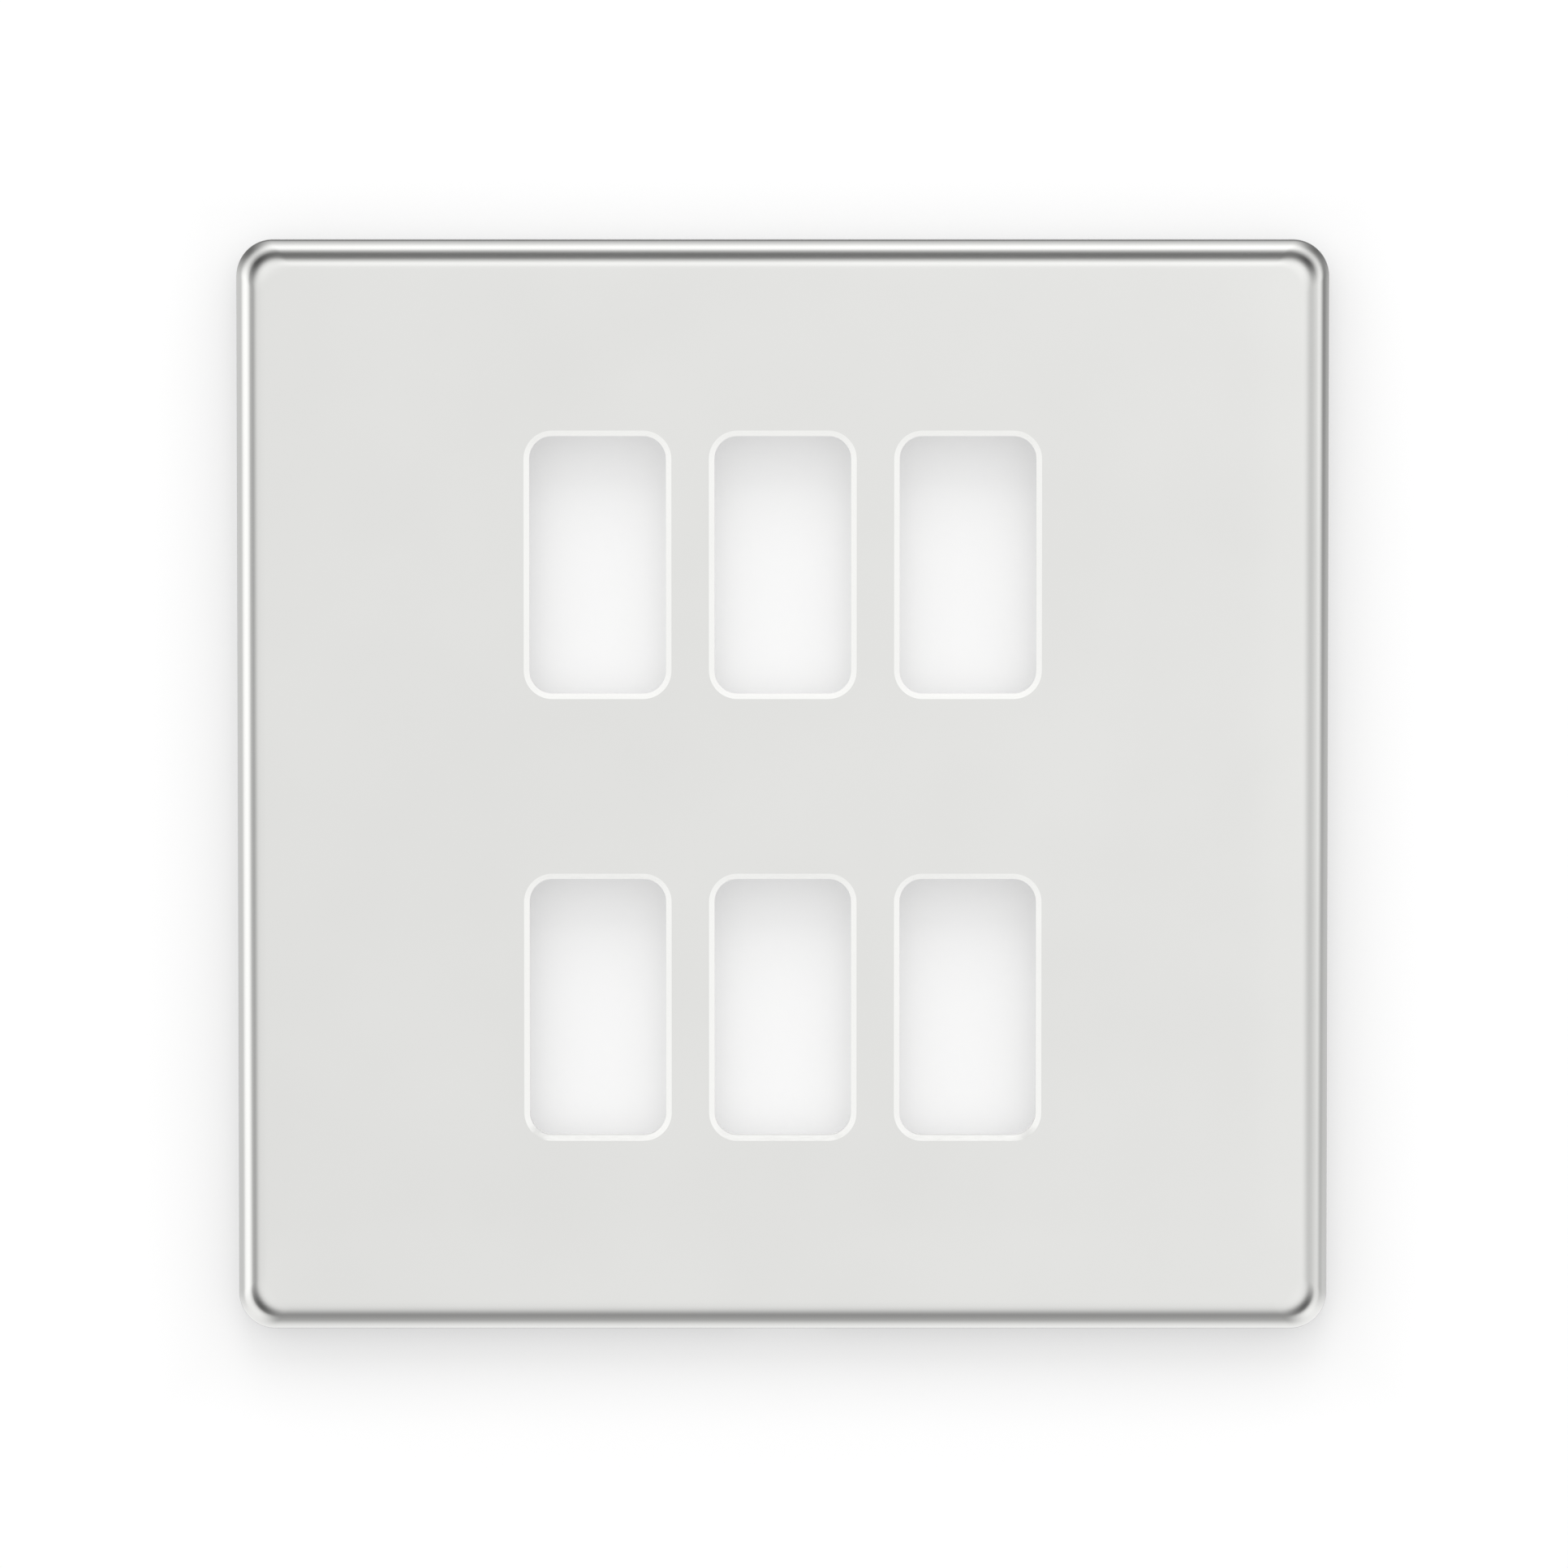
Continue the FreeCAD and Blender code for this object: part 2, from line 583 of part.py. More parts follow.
def fixing_slots(body, node):
    """A slot in each lug for the fixing screw."""
    slot = sketch(body, node + "_SlotOutline", FRONT, "-fixing_pitch / 2")
    round_slot(slot, "screw_travel", "(screw_diameter + 2 * screw_gap)")
    cut = pocket(body, node + "_Slot", slot)
    repeated(body, node + "_Slots", [cut], ("X_Axis", "fixing_pitch", 2))


def frame_rivet_holes(body, node):
    """Holes for the rivets of the four clips and the contact strip."""
    hole = sketch(body, node + "_RivetHole", FRONT, f"-{RIVET_X}", "-clip_rise")
    round_hole(hole, RIVET_HOLE)
    cut = pocket(body, node + "_Rivet", hole)
    across, upward = ("X_Axis", f"2 * {RIVET_X}", 2), ("Z_Axis", "2 * clip_rise", 2)
    repeated(body, node + "_Rivets", [cut], across, upward)
    leaf = sketch(body, node + "_LeafRivetHole", FRONT, f"-{CLIP_X}", f"-{LEAF_RIVET}")
    round_hole(leaf, RIVET_HOLE)
    pocket(body, node + "_LeafRivet", leaf)


def earth_tab(body, node):
    """A tab lanced out of the frame and bent back into the wall box, tapped for the terminal screw."""
    half = "(tab_width / 2 + tab_relief)"
    lance = sketch(body, node + "_LanceOutline", FRONT)
    rectangle(lance, f"({TAB_FACE} - tab_reach)", TAB_FACE, f"-{half}", half)
    pocket(body, node + "_Lance", lance)
    tab = sketch(body, node + "_TabOutline", FRONT, out="frame_sheet")
    rectangle(tab, TAB_FACE, f"({TAB_FACE} + frame_sheet)", "-tab_width / 2", "tab_width / 2")
    bent = pad(body, node + "_Tab", tab, "(frame_sheet + tab_reach)", backward=True)

    def tip_corner(box):
        across = near(box.XMax - box.XMin, "frame_sheet")
        return across and near(box.YMin, "tab_reach") and near(box.YMax, "tab_reach")

    rounded(body, node + "_TabCorners", bent, edges_where(bent, tip_corner), "tab_corner")
    hole = sketch(body, node + "_TabHole", SIDE, "tab_hole")
    round_hole(hole, "(earth_diameter + 2 * earth_gap)")
    pocket(body, node + "_Tapping", hole)


def strip_path(node, points):
    """The inner line of a bent strip, drawn in the plane of Z and depth."""
    path = DOC.addObject("Sketcher::SketchObject", node + "_Path")
    turn = Rotation(Vector(0, 0, 1), Vector(0, -1, 0), Vector(1, 0, 0), "XYZ")
    path.Placement = Placement(Vector(), turn)
    polygon(path, points, closed=False)
    return path


def strip(node, points, width):
    """A strip of spring stock bent along the path, its thickness added on the path's outer side."""
    face = DOC.addObject("Part::Offset2D", node + "_Section")
    face.Source = strip_path(node, points)
    face.Mode = "Skin"
    face.Join = "Arc"
    face.Fill = True
    face.setExpression("Value", tied("clip_strip"))
    made = DOC.addObject("Part::Extrusion", node + "_Strip")
    made.Base = face
    made.DirMode = "Custom"
    made.Dir = Vector(1, 0, 0)
    made.Symmetric = True
    made.Solid = True
    made.setExpression("LengthFwd", tied(width))
    DOC.recompute()
    return made


def rivet_bore(node, across, upward):
    """A bore along the depth, for a rivet through a strip."""
    bore = DOC.addObject("Part::Cylinder", node + "_Bore")
    bore.Placement = Placement(Vector(), Rotation(Vector(1, 0, 0), 90))
    bore.setExpression("Radius", tied(f"{RIVET_HOLE} / 2"))
    bore.setExpression("Height", tied(f"{CLIP_BASE} * 2"))
    bore.setExpression("Placement.Base.x", tied(across))
    bore.setExpression("Placement.Base.z", tied(upward))
    return bore


def spring_clip(node, side, level, row):
    """A strip bent to a waisted U that grips a catch rib, with an ear riveted to the frame."""
    right = (
        ("clip_throat / 2", CLIP_BASE),
        ("clip_throat / 2", CLIP_KNEE),
        ("(rib_neck / 2 + clip_pinch)", CLIP_WAIST),
        ("clip_mouth / 2", CLIP_TIP),
    )
    left = [(f"-{across}", depth) for across, depth in reversed(right)]
    spring = strip(node, left + list(right), "clip_width")
    ear = DOC.addObject("Part::Box", node + "_Ear")
    ear.setExpression("Length", tied("(ear_length + clip_strip)"))
    ear.setExpression("Width", tied("clip_strip"))
    ear.setExpression("Height", tied("ear_width"))
    ear.setExpression("Placement.Base.x", tied("-clip_width / 2 - ear_length"))
    ear.setExpression("Placement.Base.y", tied(f"-{CLIP_BASE}"))
    ear.setExpression("Placement.Base.z", tied("-ear_width / 2"))
    joined = DOC.addObject("Part::Fuse", node + "_Blank")
    joined.Base = spring
    joined.Tool = ear
    made = DOC.addObject("Part::Cut", "Body_" + node)
    made.Base = joined
    made.Tool = rivet_bore(node, "-clip_width / 2 - ear_length / 2", "0")
    made.Label = node
    if side < 0:
        made.Placement = Placement(Vector(), Rotation(Vector(0, 1, 0), 180))
    made.setExpression("Placement.Base.x", tied(f"{side} * {CLIP_X}"))
    made.setExpression("Placement.Base.z", tied(f"{row} * row_pitch / 2 + {level} * clip_rise"))
    DOC.recompute()
    PIECES[node] = made


def earth_spring(node, row):
    """A strip that rises from the frame to touch the back of the metal plate."""
    crest = f"({FACE_BACK} - leaf_touch - clip_strip)"
    points = (
        ("-leaf_start", "frame_sheet"),
        ("(-leaf_start + leaf_foot)", "frame_sheet"),
        ("leaf_crest", crest),
        ("(leaf_crest + leaf_tip)", f"({crest} - leaf_dip)"),
    )
    spring = strip(node, list(reversed(points)), "leaf_width")
    made = DOC.addObject("Part::Cut", "Body_" + node)
    made.Base = spring
    made.Tool = rivet_bore(node, "0", f"-{LEAF_RIVET}")
    made.Label = node
    made.setExpression("Placement.Base.x", tied(f"-{CLIP_X}"))
    made.setExpression("Placement.Base.z", tied(f"{row} * row_pitch / 2"))
    DOC.recompute()
    PIECES[node] = made


def rivet_profile(made):
    """Half of a rivet: a shank flush with the frame's back and a low head on the strip."""
    top = f"({CLIP_BASE} + rivet_height)"
    shoulder = f"({CLIP_BASE} + rivet_height / 2)"
    polygon(made, [
        ("0", "0"),
        ("rivet_diameter / 2", "0"),
        ("rivet_diameter / 2", f"-{CLIP_BASE}"),
        ("rivet_head / 2", f"-{CLIP_BASE}"),
        ("rivet_head / 2", f"-{shoulder}"),
        ("rivet_head * 0.3", f"-{top}"),
        ("0", f"-{top}"),
    ])


def clip_rivets(node, row):
    """The rivets of one frame's clips and contact strip."""
    body = new_body(node, row)
    half = sketch(body, node + "_Half", TOP, f"-{RIVET_X}", "0", "-clip_rise")
    rivet_profile(half)
    first = turned(body, node + "_Rivet", half, "V_Axis")
    across, upward = ("X_Axis", f"2 * {RIVET_X}", 2), ("Z_Axis", "2 * clip_rise", 2)
    repeated(body, node + "_Four", [first], across, upward)
    leaf = sketch(body, node + "_LeafHalf", TOP, f"-{CLIP_X}", "0", f"-{LEAF_RIVET}")
    rivet_profile(leaf)
    turned(body, node + "_LeafRivet", leaf, "V_Axis")


def box_screws():
    """The four slotted screws that hold the frames to the wall box."""
    body = new_body("box_screws")
    half = sketch(body, "ScrewHalf", TOP, "-fixing_pitch / 2", "0", "-row_pitch / 2")
    top = "(frame_sheet + head_height)"
    end = "(screw_length - frame_sheet)"
    polygon(half, [
        ("0", f"-{top}"),
        ("(head_diameter / 2 - head_round)", f"-{top}"),
        ("head_diameter / 2", f"(-{top} + head_round)"),
        ("head_diameter / 2", "-frame_sheet"),
        ("screw_neck / 2", "-frame_sheet"),
        ("screw_neck / 2", "neck_past"),
        ("screw_diameter / 2", "neck_past"),
        ("screw_diameter / 2", f"({end} - screw_point)"),
        ("(screw_diameter / 2 - screw_point)", end),
        ("0", end),
    ])
    screw = turned(body, "Screw", half, "V_Axis")
    slot = sketch(body, "ScrewSlotOutline", FRONT, "-fixing_pitch / 2", "-row_pitch / 2", top)
    rectangle(slot, "-head_diameter", "head_diameter", "-driver_width / 2", "driver_width / 2")
    cut = pocket(body, "ScrewSlot", slot, "driver_depth", forward=False)
    repeated(body, "Screws", [screw, cut], ("X_Axis", "fixing_pitch", 2), ("Z_Axis", "row_pitch", 2))


def earth_screw(node, row):
    """The terminal screw across the earth tab."""
    body = new_body(node, row)
    half = sketch(body, node + "_Half", TOP, TAB_FACE, "tab_hole")
    top = "(clamp_sheet + earth_height)"
    end = "(earth_length - clamp_sheet)"
    polygon(half, [
        (f"-{top}", "0"),
        (f"-{top}", "(earth_head / 2 - head_round)"),
        (f"(-{top} + head_round)", "earth_head / 2"),
        ("-clamp_sheet", "earth_head / 2"),
        ("-clamp_sheet", "earth_diameter / 2"),
        (f"({end} - screw_point)", "earth_diameter / 2"),
        (end, "(earth_diameter / 2 - screw_point)"),
        (end, "0"),
    ])
    turned(body, node + "_Screw", half, "H_Axis")
    slot = sketch(body, node + "_SlotOutline", SIDE, "tab_hole", "0", f"({TAB_FACE} - {top})")
    rectangle(slot, "-earth_head", "earth_head", "-driver_width / 2", "driver_width / 2")
    pocket(body, node + "_Slot", slot, "driver_depth")


def earth_clamp(node, row):
    """A saddle clamp under the terminal screw's head, with two ears beside the tab."""
    body = new_body(node, row)
    half = "(tab_width / 2 + clamp_gap + clamp_sheet)"
    flat = sketch(body, node + "_Outline", SIDE, "tab_hole", "0", f"({TAB_FACE} - clamp_sheet)")
    rectangle(flat, "-clamp_height / 2", "clamp_height / 2", f"-{half}", half)
    pad(body, node + "_Flat", flat, "clamp_sheet")
    ear = sketch(body, node + "_EarOutline", SIDE, "tab_hole", "0", f"({TAB_FACE} - clamp_sheet)")
    rectangle(ear, "-clamp_height / 2", "clamp_height / 2", f"-{half}", f"(-{half} + clamp_sheet)")
    first = pad(body, node + "_Ear", ear, "(clamp_sheet + clamp_ear)")
    repeated(body, node + "_Ears", [first], ("Z_Axis", f"(2 * {half} - clamp_sheet)", 2))
    hole = sketch(body, node + "_Hole", SIDE, "tab_hole", "0", f"({TAB_FACE} - clamp_sheet)")
    round_hole(hole, "(earth_diameter + 2 * clamp_gap)")
    pocket(body, node + "_Bore", hole)


def build():
    """Every piece of the plate, its two frames and their fittings."""
    fill_sheet()
    front_plate()
    clip_carrier()
    box_screws()
    for name, row in (("upper", 1), ("lower", -1)):
        grid_frame(name + "_grid_frame", row)
        clip_rivets(name + "_clip_rivets", row)
        earth_screw(name + "_earth_screw", row)
        earth_clamp(name + "_earth_clamp", row)
        earth_spring(name + "_earth_spring", row)
        for hand, side in (("left", -1), ("right", 1)):
            for height, level in (("high", 1), ("low", -1)):
                spring_clip(f"{name}_{hand}_{height}_clip", side, level, row)
    DOC.recompute()


def check():
    """Stops if any object failed or any piece is not a sound solid."""
    for item in DOC.Objects:
        if "Invalid" in item.State or "Error" in item.State:
            raise RuntimeError(f"{item.Label} did not compute")
    for node, piece in PIECES.items():
        shape = piece.Shape
        if shape.isNull() or not shape.isValid() or not shape.Solids:
            raise RuntimeError(f"{node} is not a valid solid")


def write():
    """One file for each piece."""
    os.makedirs("parts", exist_ok=True)
    for node, piece in PIECES.items():
        piece.Shape.exportStep(f"parts/{node}.step")


build()
check()
write()
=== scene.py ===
import math

import bmesh
import bpy
from bpy.props import FloatProperty, FloatVectorProperty, PointerProperty
from mathutils import Matrix, Vector


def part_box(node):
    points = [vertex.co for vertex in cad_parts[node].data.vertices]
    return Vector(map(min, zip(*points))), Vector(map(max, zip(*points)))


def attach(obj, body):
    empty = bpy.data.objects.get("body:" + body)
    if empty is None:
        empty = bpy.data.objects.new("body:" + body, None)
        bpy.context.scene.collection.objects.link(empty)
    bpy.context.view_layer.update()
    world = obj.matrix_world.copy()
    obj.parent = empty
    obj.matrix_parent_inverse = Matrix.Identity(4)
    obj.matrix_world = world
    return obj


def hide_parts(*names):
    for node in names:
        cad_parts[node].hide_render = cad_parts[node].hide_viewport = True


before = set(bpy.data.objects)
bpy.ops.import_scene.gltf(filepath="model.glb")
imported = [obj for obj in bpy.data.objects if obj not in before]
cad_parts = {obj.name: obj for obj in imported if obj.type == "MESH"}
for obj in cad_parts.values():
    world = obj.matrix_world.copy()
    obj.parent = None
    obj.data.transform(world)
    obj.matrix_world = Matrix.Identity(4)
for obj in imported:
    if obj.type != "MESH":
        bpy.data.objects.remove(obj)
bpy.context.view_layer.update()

bl_info = {
    "name": "Grid Switch Plate",
    "version": (1, 0, 0),
    "blender": (4, 5, 0),
    "location": "View3D > Sidebar > Grid Plate",
    "description": "Dresses a clip-on grid switch plate, its grid frames and its fittings",
    "category": "Object",
}

MM = 0.001
ROWS = ("upper", "lower")
HANDS = ("left", "right")
LEVELS = ("high", "low")
CLIPS = [f"{row}_{hand}_{level}_clip" for row in ROWS for hand in HANDS for level in LEVELS]

# Steps in a round shape: a quarter turn of an outline, or a whole turn of a screw, mark or rivet.
ROLL_STEPS = 28
CORNER_STEPS = 28
WINDOW_STEPS = 14
CARD_STEPS = 16
DOME_STEPS = 8
SCREW_STEPS = 32
MARK_STEPS = 28
RIVET_STEPS = 24

# Rows of vertices in a turn of thread, how far its ridge reaches and how steep its flanks are.
THREAD_ROWS = 8
RIDGE_REACH = 1.25
FLANK_SLOPE = 2.9

# Vertices of a screw that are nearer than this are joined.
SAME_PLACE = 1e-7

# The range that most values of a noise lie in, and points with no stretch.
NOISE_LOW = 0.3
NOISE_HIGH = 0.7
EVEN = (1.0, 1.0, 1.0)

# The picture's size in pixels, and how far its middle lies right of the plate's middle and above it.
PHOTO_PIXELS = 1932
PIXELS_RIGHT = 1.5
PIXELS_UP = 3.0
SENSOR_WIDTH = 36.0

# Places on the stage, in metres and degrees.
WALL_REACH = 2.5
WALL_BACK = 0.0004
FLOOR_LEVEL = -0.45
# Distances off the plate's edge over which the wall's painted shade around the plate fades out.
PAINTED_SHADE_FADE_START = 0.004
PAINTED_SHADE_FADE_END = 0.014
CARD_AWAY = 0.15
CARD_ANGLE = 66
BAND_AWAY = 0.01
BAND_LAST = 156
SIGHT_LEAN = 4
LAMP_WAY = (0.0, -0.6, 0.8)
LAMP_DISTANCE = 1.3
LAMP_SIZE = 0.6

# Keeps a division away from nought.
TINY = 1e-9

# Light levels, where white is 1, what a card gains over a metre, and what matt surfaces lose of it.
PANEL_LEVEL = 1.3
TENT_LEVEL = 1.34
TENT_BELOW = 0.35
DIM_LEVEL = 0.24
GAIN_RIGHT = 0.2
GAIN_UP = 0.1
MATT_LOSS = 0.75

# Kinds of rays that the cards, the wall and the floor are hidden from.
OFF_CARDS = ("camera", "diffuse", "transmission", "volume_scatter", "shadow")
OFF_WALL = ("diffuse", "glossy", "transmission", "volume_scatter", "shadow")
OFF_FLOOR = ("diffuse", "glossy")

# The colour sockets of a mixing node, which has others of the same names.
COLOUR_FIRST = 6
COLOUR_SECOND = 7
COLOUR_MIXED = 2

# Brightness that the polished plate sees: an angle off the line to the camera, in degrees, and a level.
# The right side has a row for its top and one for its bottom, and fades from one to the other.
CARD_RIGHT = (
    (0, 1.0), (10, 1.0), (16, 0.99), (21, 0.95), (27, 0.87), (33, 0.78),
    (40, 0.7), (46, 0.68), (53, 0.7), (60, 0.74), (66, 0.8),
)
CARD_LEVELS = {
    "above": (
        (0, 0.985), (8, 1.0), (14, 1.1), (20, 1.17), (25, 1.08), (31, 0.81),
        (36, 0.52), (42, 0.31), (50, 0.2), (60, 0.2), (66, 0.28),
    ),
    "below": (
        (0, 0.985), (12, 0.97), (24, 0.94), (31, 0.88), (37, 0.8),
        (43, 0.68), (50, 0.52), (57, 0.39), (66, 0.35),
    ),
    "left": (
        (0, 0.97), (19, 0.95), (29, 0.93), (35, 0.87), (40, 0.75),
        (45, 0.6), (51, 0.5), (59, 0.57), (66, 0.78),
    ),
    "right_top": CARD_RIGHT,
    "right_bottom": CARD_RIGHT,
    "upper_corners": (
        (0, 0.99), (10, 1.0), (20, 1.06), (29, 1.08), (36, 0.9),
        (42, 0.5), (48, 0.2), (55, 0.09), (61, 0.12), (66, 0.24),
    ),
    "lower_corners": (
        (0, 0.99), (10, 1.0), (20, 1.02), (29, 1.0), (36, 0.85),
        (42, 0.5), (48, 0.22), (55, 0.13), (61, 0.2), (66, 0.42),
    ),
}
BAND_LEVELS = {
    "above": (
        (66, 0.28), (74, 0.57), (82, 1.04), (89, 1.29), (98, 1.25),
        (108, 1.02), (118, 0.8), (132, 0.6), (145, 0.2),
    ),
    "below": (
        (66, 0.35), (79, 0.42), (88, 0.49), (96, 0.63), (106, 0.79), (118, 0.95), (130, 1.01),
    ),
    "left": (
        (66, 0.78), (74, 1.12), (81, 1.29), (90, 1.29),
        (100, 1.17), (110, 0.8), (118, 0.71), (135, 0.69),
    ),
    "right_top": (
        (66, 0.8), (74, 0.93), (82, 1.02), (89, 0.9),
        (97, 0.57), (104, 0.3), (112, 0.26), (122, 0.35), (135, 0.44),
    ),
    "right_bottom": (
        (66, 0.8), (74, 0.86), (82, 0.89), (89, 0.78),
        (97, 0.61), (104, 0.61), (112, 0.68), (122, 0.72), (135, 0.68),
    ),
    "upper_corners": (
        (66, 0.24), (72, 0.46), (78, 0.72), (86, 0.8), (94, 0.62), (102, 0.36), (110, 0.24), (122, 0.18),
    ),
    "lower_corners": (
        (66, 0.42), (71, 0.78), (77, 1.03), (85, 1.1), (93, 1.08), (101, 1.06), (111, 1.05), (122, 1.04),
    ),
}
PANELS_LOW = ((0, 1.0), (60, 1.0), (66, 1.12), (95, 1.14), (108, 0.7), (128, 0.32), (180, 0.26))
PANELS_HIGH = ((0, 1.0), (60, 1.0), (66, 1.22), (95, 1.26), (108, 1.05), (128, 0.9), (180, 0.85))


# Properties

def length(name, description, millimetres):
    """A length property whose default is given in millimetres."""
    kind = {"subtype": "DISTANCE", "unit": "LENGTH", "precision": 5}
    return FloatProperty(name=name, description=description, default=millimetres * MM, **kind)


def tint(name, description, red, green, blue):
    """A colour property."""
    kind = {"subtype": "COLOR", "size": 3, "min": 0.0, "max": 1.0}
    return FloatVectorProperty(name=name, description=description, default=(red, green, blue), **kind)


def share(name, description, value):
    """A plain number property from nought to one."""
    return FloatProperty(name=name, description=description, default=value, min=0.0, max=1.0, precision=3)


def node_size(node, axis):
    """The size of a CAD node along an axis, in millimetres."""
    low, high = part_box(node)
    return (high[axis] - low[axis]) / MM


class PlateSizes(bpy.types.PropertyGroup):
    """Sizes of the pressed front plate."""

    width: length("Width", "Plate from side to side", node_size("front_plate", 0))
    height: length("Height", "Plate from top to bottom", node_size("front_plate", 2))
    depth: length("Depth", "Plate from the wall to its face", node_size("front_plate", 1))
    sheet: length("Sheet", "Thickness of the pressed sheet", 1.0)
    corner: length("Corner", "Outer corner radius seen from the front", 5.0)
    face_corner: length("Face corner", "Corner radius of the flat face inside the rolled edge", 3.8)
    roll: length("Roll", "Radius of the rolled-over edge", 4.2)
    column_pitch: length("Column pitch", "Distance between windows of a row", 25.2)
    row_pitch: length("Row pitch", "Distance between the two rows", 60.3)
    window_width: length("Window width", "Clear width of a window in the sheet", 18.6)
    window_height: length("Window height", "Clear height of a window in the sheet", 35.0)
    window_corner: length("Window corner", "Corner radius of a window in the sheet", 3.1)
    bevel: length("Bevel", "Width of the coined bevel around a window", 0.75)
    bevel_depth: length("Bevel depth", "Depth of the coined bevel around a window", 0.63)
    notch_width: length("Notch width", "Prising notch in the bottom edge", 12.0)
    notch_height: length("Notch height", "Prising notch, out from the wall", 1.8)


class FastenerSizes(bpy.types.PropertyGroup):
    """Sizes of the screws and rivets."""

    screw_diameter: length("Screw thread", "Outside diameter of the fixing screws' thread", 3.5)
    screw_pitch: length("Screw pitch", "Pitch of the screw threads", 0.6)
    thread_depth: length("Thread depth", "From the crest to the root of a thread", 0.34)
    head_diameter: length("Screw head", "Diameter of a fixing screw's head", 6.8)
    head_height: length("Head height", "Height of a fixing screw's head", 2.2)
    earth_head: length("Terminal head", "Diameter of a terminal screw's head", 6.2)
    earth_height: length("Terminal head height", "Height of a terminal screw's head", 2.0)
    slot_width: length("Slot width", "Driver slot in a screw head", 1.0)
    slot_depth: length("Slot depth", "Driver slot in a screw head", 1.2)
    rivet_diameter: length("Rivet", "Diameter of a rivet's shank", 1.8)
    rivet_head: length("Rivet head", "Diameter of a rivet's head", 2.8)
    rivet_height: length("Rivet head height", "Height of a rivet's domed head", 0.8)


class FinishColours(bpy.types.PropertyGroup):
    """Colours and gloss of the finishes."""

    chrome: tint("Chrome", "Polished chrome of the plate", 0.78, 0.78, 0.765)
    chrome_roughness: share("Chrome roughness", "Mean roughness of the polished chrome", 0.1)
    moulding: tint("Moulding", "Moulded plastic of the carrier", 0.77, 0.77, 0.76)
    zinc: tint("Zinc", "Zinc plating of the grid frames", 0.62, 0.63, 0.63)
    screw_zinc: tint("Screw plating", "Bright plating of the fixing screws", 0.68, 0.68, 0.66)
    spring: tint("Spring steel", "Bright spring strip of the clips", 0.5, 0.51, 0.53)
    rivet: tint("Rivet steel", "Plain steel of the rivets", 0.58, 0.58, 0.58)
    bronze: tint("Bronze", "Contact strips", 0.7, 0.45, 0.26)
    brass: tint("Brass", "Terminal screws and clamps", 0.76, 0.6, 0.3)


class StageLook(bpy.types.PropertyGroup):
    """Camera, backdrop and light."""

    distance: length("Camera distance", "From the plate's face to the camera", 1000.0)
    elevation: FloatProperty(
        name="Camera elevation",
        description="Angle of the camera above the plate's centre",
        default=math.radians(2.3),
        subtype="ANGLE",
        unit="ROTATION",
    )
    view_height: length("View height", "Height of the picture at the plate's face", 213.5)
    wall_glow: share("Wall glow", "Light that the white wall gives off by itself", 0.43)
    # How much less the wall glows near the plate and behind it: a painted shade.
    painted_shade_depth: share("Wall lift", "What the wall's glow gains a little way off the plate", 0.035)
    wall_shade: share("Wall shade", "Part of the wall's brightness that takes shadows", 0.58)
    lamp_power: FloatProperty(
        name="Lamp power",
        description="Power of the soft lamp overhead",
        default=2.5,
        min=0.0,
        subtype="POWER",
        unit="POWER",
    )


class GridPlateSettings(bpy.types.PropertyGroup):
    """All the settings of the grid plate."""

    plate: PointerProperty(name="Plate", description="Sizes of the front plate", type=PlateSizes)
    fasteners: PointerProperty(name="Fasteners", description="Screws and rivets", type=FastenerSizes)
    finish: PointerProperty(name="Finish", description="Colours of the finishes", type=FinishColours)
    stage: PointerProperty(name="Stage", description="Camera, backdrop and light", type=StageLook)


# Materials

def start_finish(name, colour, metallic, roughness):
    """A new material with its shader's plain values set."""
    finish = bpy.data.materials.new(name)
    finish.use_nodes = True
    shader = finish.node_tree.nodes["Principled BSDF"]
    shader.inputs["Base Color"].default_value = (*colour, 1.0)
    shader.inputs["Metallic"].default_value = metallic
    shader.inputs["Roughness"].default_value = roughness
    return finish, finish.node_tree, shader


def object_points(tree, stretch):
    """Positions on the piece, stretched along its axes."""
    points = tree.nodes.new("ShaderNodeTexCoord")
    place = tree.nodes.new("ShaderNodeMapping")
    place.inputs["Scale"].default_value = stretch
    tree.links.new(points.outputs["Object"], place.inputs["Vector"])
    return place.outputs["Vector"]


def noise(tree, scale, detail, roughness=0.55, stretch=EVEN):
    """A soft random value over the piece."""
    made = tree.nodes.new("ShaderNodeTexNoise")
    made.inputs["Scale"].default_value = scale
    made.inputs["Detail"].default_value = detail
    made.inputs["Roughness"].default_value = roughness
    tree.links.new(object_points(tree, stretch), made.inputs["Vector"])
    return made.outputs["Fac"]


def spread(tree, value, low=0.0, high=1.0, start=NOISE_LOW, end=NOISE_HIGH):
    """The value turned from one range into another."""
    made = tree.nodes.new("ShaderNodeMapRange")
    made.inputs["From Min"].default_value = start
    made.inputs["From Max"].default_value = end
    made.inputs["To Min"].default_value = low
    made.inputs["To Max"].default_value = high
    tree.links.new(value, made.inputs["Value"])
    return made.outputs["Result"]


def calculate(tree, kind, first, second=0.0):
    """A calculation with one or two values, each a number or a link."""
    made = tree.nodes.new("ShaderNodeMath")
    made.operation = kind
    for socket, value in zip(made.inputs, (first, second)):
        if isinstance(value, (int, float)):
            socket.default_value = value
        else:
            tree.links.new(value, socket)
    return made.outputs["Value"]


def colours_between(tree, value, stops):
    """A colour ramp over the value: each stop is a position and a colour."""
    made = tree.nodes.new("ShaderNodeValToRGB")
    ramp = made.color_ramp
    while len(ramp.elements) < len(stops):
        ramp.elements.new(0.5)
    for element, (position, colour) in zip(ramp.elements, stops):
        element.position = position
        element.color = (*colour, 1.0)
    tree.links.new(value, made.inputs["Fac"])
    return made.outputs["Color"]


def shaded(colour, factor):
    """The colour made darker or lighter."""
    return tuple(min(1.0, channel * factor) for channel in colour)


def grey(level):
    """A neutral colour."""
    return (level,) * 3


